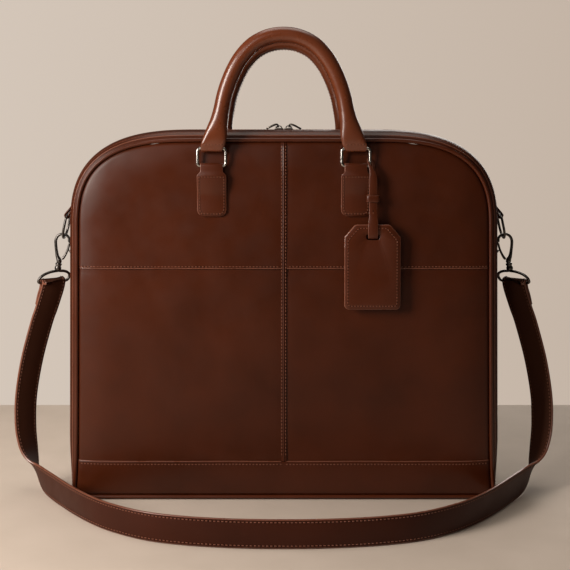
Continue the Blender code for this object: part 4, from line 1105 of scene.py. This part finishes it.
def strap_rows():
    """Centre line and width direction of the whole strap, looped round both fittings."""
    reach = 0.00185 + STRAP_THICK / 2
    spots = [LOOP_BAR + LOOP_AWAY * reach + np.array((x, 0.0, z))
             for x, z in ((-0.007, -0.033), (-0.0042, -0.02), (-0.001, -0.009))]
    for k in range(9):
        angle = math.pi * k / 8
        spots.append(LOOP_BAR + LOOP_AWAY * reach * math.cos(angle) + np.array((0.0, 0.0, reach * math.sin(angle))))
    loop = [(*spot, *LOOP_ALONG) for spot in spots]
    hanging = [
        (-0.32, 0.0152, 0.27, 0.79, 0.61, 0.0), (-0.3278, 0.015, 0.245, 0.77, 0.64, 0.0),
        (-0.3356, 0.0145, 0.222, 0.75, 0.66, 0.0), (-0.3485, 0.012, 0.172, 0.73, 0.68, 0.0),
        (-0.3558, 0.008, 0.124, 0.69, 0.72, 0.0), (-0.3562, 0.004, 0.088, 0.65, 0.75, -0.05),
        (-0.353, -0.0005, 0.064, 0.57, 0.74, -0.25), (-0.3465, -0.0065, 0.043, 0.45, 0.6, -0.6),
        (-0.337, -0.017, 0.0275, 0.28, 0.35, -0.9), (-0.3235, -0.035, 0.02, 0.08, 0.1, -1.0),
        (-0.305, -0.061, 0.0179, 0.0, 0.0, -1.0),
    ]
    lying = [(-0.273, -0.106), (-0.2435, -0.142), (-0.213, -0.171), (-0.17, -0.199), (-0.1235, -0.215),
             (-0.065, -0.2245), (0.0, -0.2275)]
    half = np.vstack((loop, hanging, [(x, y, 0.0177, 0.0, 0.0, -1.0) for x, y in lying]))
    other = half[:-1][::-1] * np.array((-1.0, 1.0, 1.0, -1.0, 1.0, 1.0))
    return smooth_path(np.vstack((half, other)), 7)


def strap_pieces():
    """The strap's leather, with smooth outer and raw inner faces and light edges, partly edge paint and partly a
    painted highlight, and its stitching.
    """
    rows = strap_rows()
    path, sides = rows[:, :3], rows[:, 3:]
    ring = rounded_bar(STRAP_HALF, STRAP_THICK / 2, 0.0009)
    around = [{3: 1, 11: 0}.get(k, 2) for k in range(len(ring))]
    shape = (*sweep(path, sides, ring), around * (len(path) - 1) + [2, 2])
    make_piece("strap_leather_band", shape, [STRAP, SUEDE, EDGE_PAINT_HIGHLIGHT], "shoulder_strap",
               ["shoulder_strap"])
    sides, normals = frames_along(path, sides)
    parts = []
    for across in (-STRAP_HALF + 0.0033, STRAP_HALF - 0.0033):
        for face in (-1.0, 1.0):
            line = path + sides * across + normals * face * STRAP_THICK / 2
            parts.append(stitch_row(line, normals * face, 0.0048, 0.0033, 0.00055))
    make_piece("strap_stitching", stitches(parts), SEWN, "shoulder_strap")


def fitting_pieces(side, sign):
    """D-ring, its leather tab, hook, gate, barrel and swivel loop of one side."""
    put = piece_maker(f"%s_{side}", np.asarray if sign > 0 else mirrored)
    hook, gate = f"hook_{side}", f"gate_{side}"
    tab = sweep(tab_path(), ACROSS, rounded_bar(0.0105, 0.0009, 0.0005, 2))
    put("tab_leather", tab, TRIM, "back_half", "trim_leather", ["d_ring_tab"])
    corners = ((-0.008, 0.3905), (-0.008, 0.3995), (0.008, 0.3995), (0.008, 0.3905))
    row = stitch_row([(-0.2897, SIDE_Y + y, z) for y, z in corners], (-1.0, 0.0, 0.0), *FINE_STITCH, closed=True)
    put("tab_stitching", stitches([row]), SEWN, "back_half", "trim_leather")
    ring = wire(d_ring_path(), D_WIRE + 0.0001, closed=True, side=(1.0, 0.0, 0.2))
    for name, shape, body, node in (
            ("d_ring_wire", ring, f"d_ring_{side}", "d_ring"),
            ("hook_wire", hook_part(HOOK_KEYS, 5), hook, "hook"),
            ("barrel_turned", lathe(BARREL, SWIVEL_TOP, SWIVEL_DOWN), hook, "swivel_barrel"),
            ("gate_bar", hook_part(GATE_KEYS, 5), gate, "gate"),
            ("gate_knob", hook_part(KNOB_KEYS, 4), gate, "gate_nub"),
            ("swivel_wire", swivel_loop(), "shoulder_strap", "swivel_loop")):
        put(name, shape, GUNMETAL, body, "hook_metal", [node])


def base_sheet():
    """Flat base with rounded edges."""
    half_x, half_y, turn = side_x(0.0) - 0.004, 0.0516, 0.012
    rings = []
    for lip, z in ((0.01, 0.0), (0.0006, 0.0), (0.0, 0.0007), (0.0, 0.0016), (0.0006, 0.0022), (0.01, 0.0022)):
        ring = rounded_bar(half_x - lip, half_y - lip, turn - lip, 6)
        rings.append(np.column_stack((ring, np.full(len(ring), z))))
    return np.vstack(rings), loft_faces(len(rings), len(rings[0]))


# --- assembly ---

shell_pieces("front", "front_half", -1.0)
shell_pieces("back", "back_half", 1.0)
carry_pieces("front", "front_half", "front_half", "front_handle", -1.0)
carry_pieces("back", "back_half", "back_rings", "back_handle", 1.0)
make_piece("base_leather", base_sheet(), TRIM, "back_half", ["base_panel"])
tag_pieces()
strap_pieces()
for side_name, side_sign in (("left", 1.0), ("right", -1.0)):
    slider_pieces(side_name, -side_sign)
    fitting_pieces(side_name, side_sign)

# --- floor, light and camera ---


def add_floor():
    """Pale floor that ends a little way behind the bag, so the backdrop shows above it."""
    mesh = bpy.data.meshes.new("floor")
    corners = ((-4.0, -4.0), (4.0, -4.0), (4.0, 0.44), (-4.0, 0.44))
    mesh.from_pydata([(x, y, -0.0004) for x, y in corners], [], [(0, 1, 2, 3)])
    material, tree, shader = new_material("floor_plaster", (0.6, 0.51, 0.43), 0.75, 0.0, 0.3)
    mottle = add_texture(tree, NOISE, 14.0, Detail=6.0)
    vary(tree, shader.inputs["Base Color"], mottle.outputs["Fac"], 0.3, 0.7,
         (0.575, 0.485, 0.405), (0.615, 0.52, 0.438))
    mesh.materials.append(material)
    floor = bpy.data.objects.new("floor", mesh)
    bpy.context.scene.collection.objects.link(floor)


def add_area(name, place, target, size, power, colour):
    data = bpy.data.lights.new(name, "AREA")
    data.shape = "RECTANGLE"
    data.size, data.size_y = size
    data.energy = power
    data.color = colour
    lamp = bpy.data.objects.new(name, data)
    lamp.location = place
    lamp.rotation_euler = aim(place, target)
    bpy.context.scene.collection.objects.link(lamp)


def aim(place, target):
    """Rotation that points a light or camera at a target."""
    x, y, z = (target[k] - place[k] for k in range(3))
    return (math.atan2(math.hypot(x, y), -z), 0.0, math.atan2(y, x) - math.pi / 2)


SENSOR_WIDTH = 36.0
FOCAL_LENGTH = 1103.0 / 570.0   # in image widths
CAMERA_PITCH = 2.36


def add_camera():
    data = bpy.data.cameras.new("camera")
    data.sensor_width = SENSOR_WIDTH
    data.lens = SENSOR_WIDTH * FOCAL_LENGTH
    data.shift_x = 0.0021
    data.shift_y = -0.2
    camera = bpy.data.objects.new("camera", data)
    camera.location = (0.0, -1.502, 0.496)
    camera.rotation_euler = (math.radians(90.0 - CAMERA_PITCH), 0.0, 0.0)
    bpy.context.scene.collection.objects.link(camera)
    bpy.context.scene.camera = camera


def add_world():
    """Beige backdrop that lights the bag less than it shows, with painted light: paler on the left, darker to the
    right.
    """
    world = bpy.data.worlds.new("backdrop")
    world.use_nodes = True
    tree = world.node_tree
    place = tree.nodes.new("ShaderNodeTexCoord")
    split = tree.nodes.new("ShaderNodeSeparateXYZ")
    spread = tree.nodes.new("ShaderNodeMapRange")
    spread.inputs["From Min"].default_value = -0.3
    spread.inputs["From Max"].default_value = 0.3
    tree.links.new(place.outputs["Generated"], split.inputs["Vector"])
    tree.links.new(split.outputs["X"], spread.inputs["Value"])
    shown = tree.nodes["Background"]
    # Painted light on the backdrop: paler on the left, falling off to the right
    vary(tree, shown.inputs["Color"], spread.outputs["Result"], 0.0, 1.0,
         (0.665, 0.572, 0.49), (0.545, 0.45, 0.372))
    lit = tree.nodes.new("ShaderNodeBackground")
    lit.inputs["Color"].default_value = (0.9, 0.8, 0.7, 1.0)
    lit.inputs["Strength"].default_value = 0.05
    path = tree.nodes.new("ShaderNodeLightPath")
    mix = tree.nodes.new("ShaderNodeMixShader")
    tree.links.new(path.outputs["Is Camera Ray"], mix.inputs["Fac"])
    tree.links.new(lit.outputs["Background"], mix.inputs[1])
    tree.links.new(shown.outputs["Background"], mix.inputs[2])
    tree.links.new(mix.outputs["Shader"], tree.nodes["World Output"].inputs["Surface"])
    bpy.context.scene.world = world


bpy.context.scene.view_settings.view_transform = "Standard"
add_world()
add_floor()
add_area("key", (-1.02, -0.74, 0.76), (-0.05, 0.0, 0.32), (0.42, 0.7), 21.0, (1.0, 0.92, 0.85))
add_area("streak", (-0.6, -1.6, 1.2), (0.02, 0.0, 0.52), (0.12, 0.6), 2.4, (1.0, 0.92, 0.85))
add_area("overhead", (0.05, 0.3, 2.2), (0.0, -0.15, 0.0), (1.5, 1.5), 16.0, (1.0, 0.93, 0.85))
add_area("behind", (0.6, 1.7, 0.8), (0.0, 0.0, 0.2), (1.0, 1.0), 9.0, (1.0, 0.94, 0.88))
add_camera()
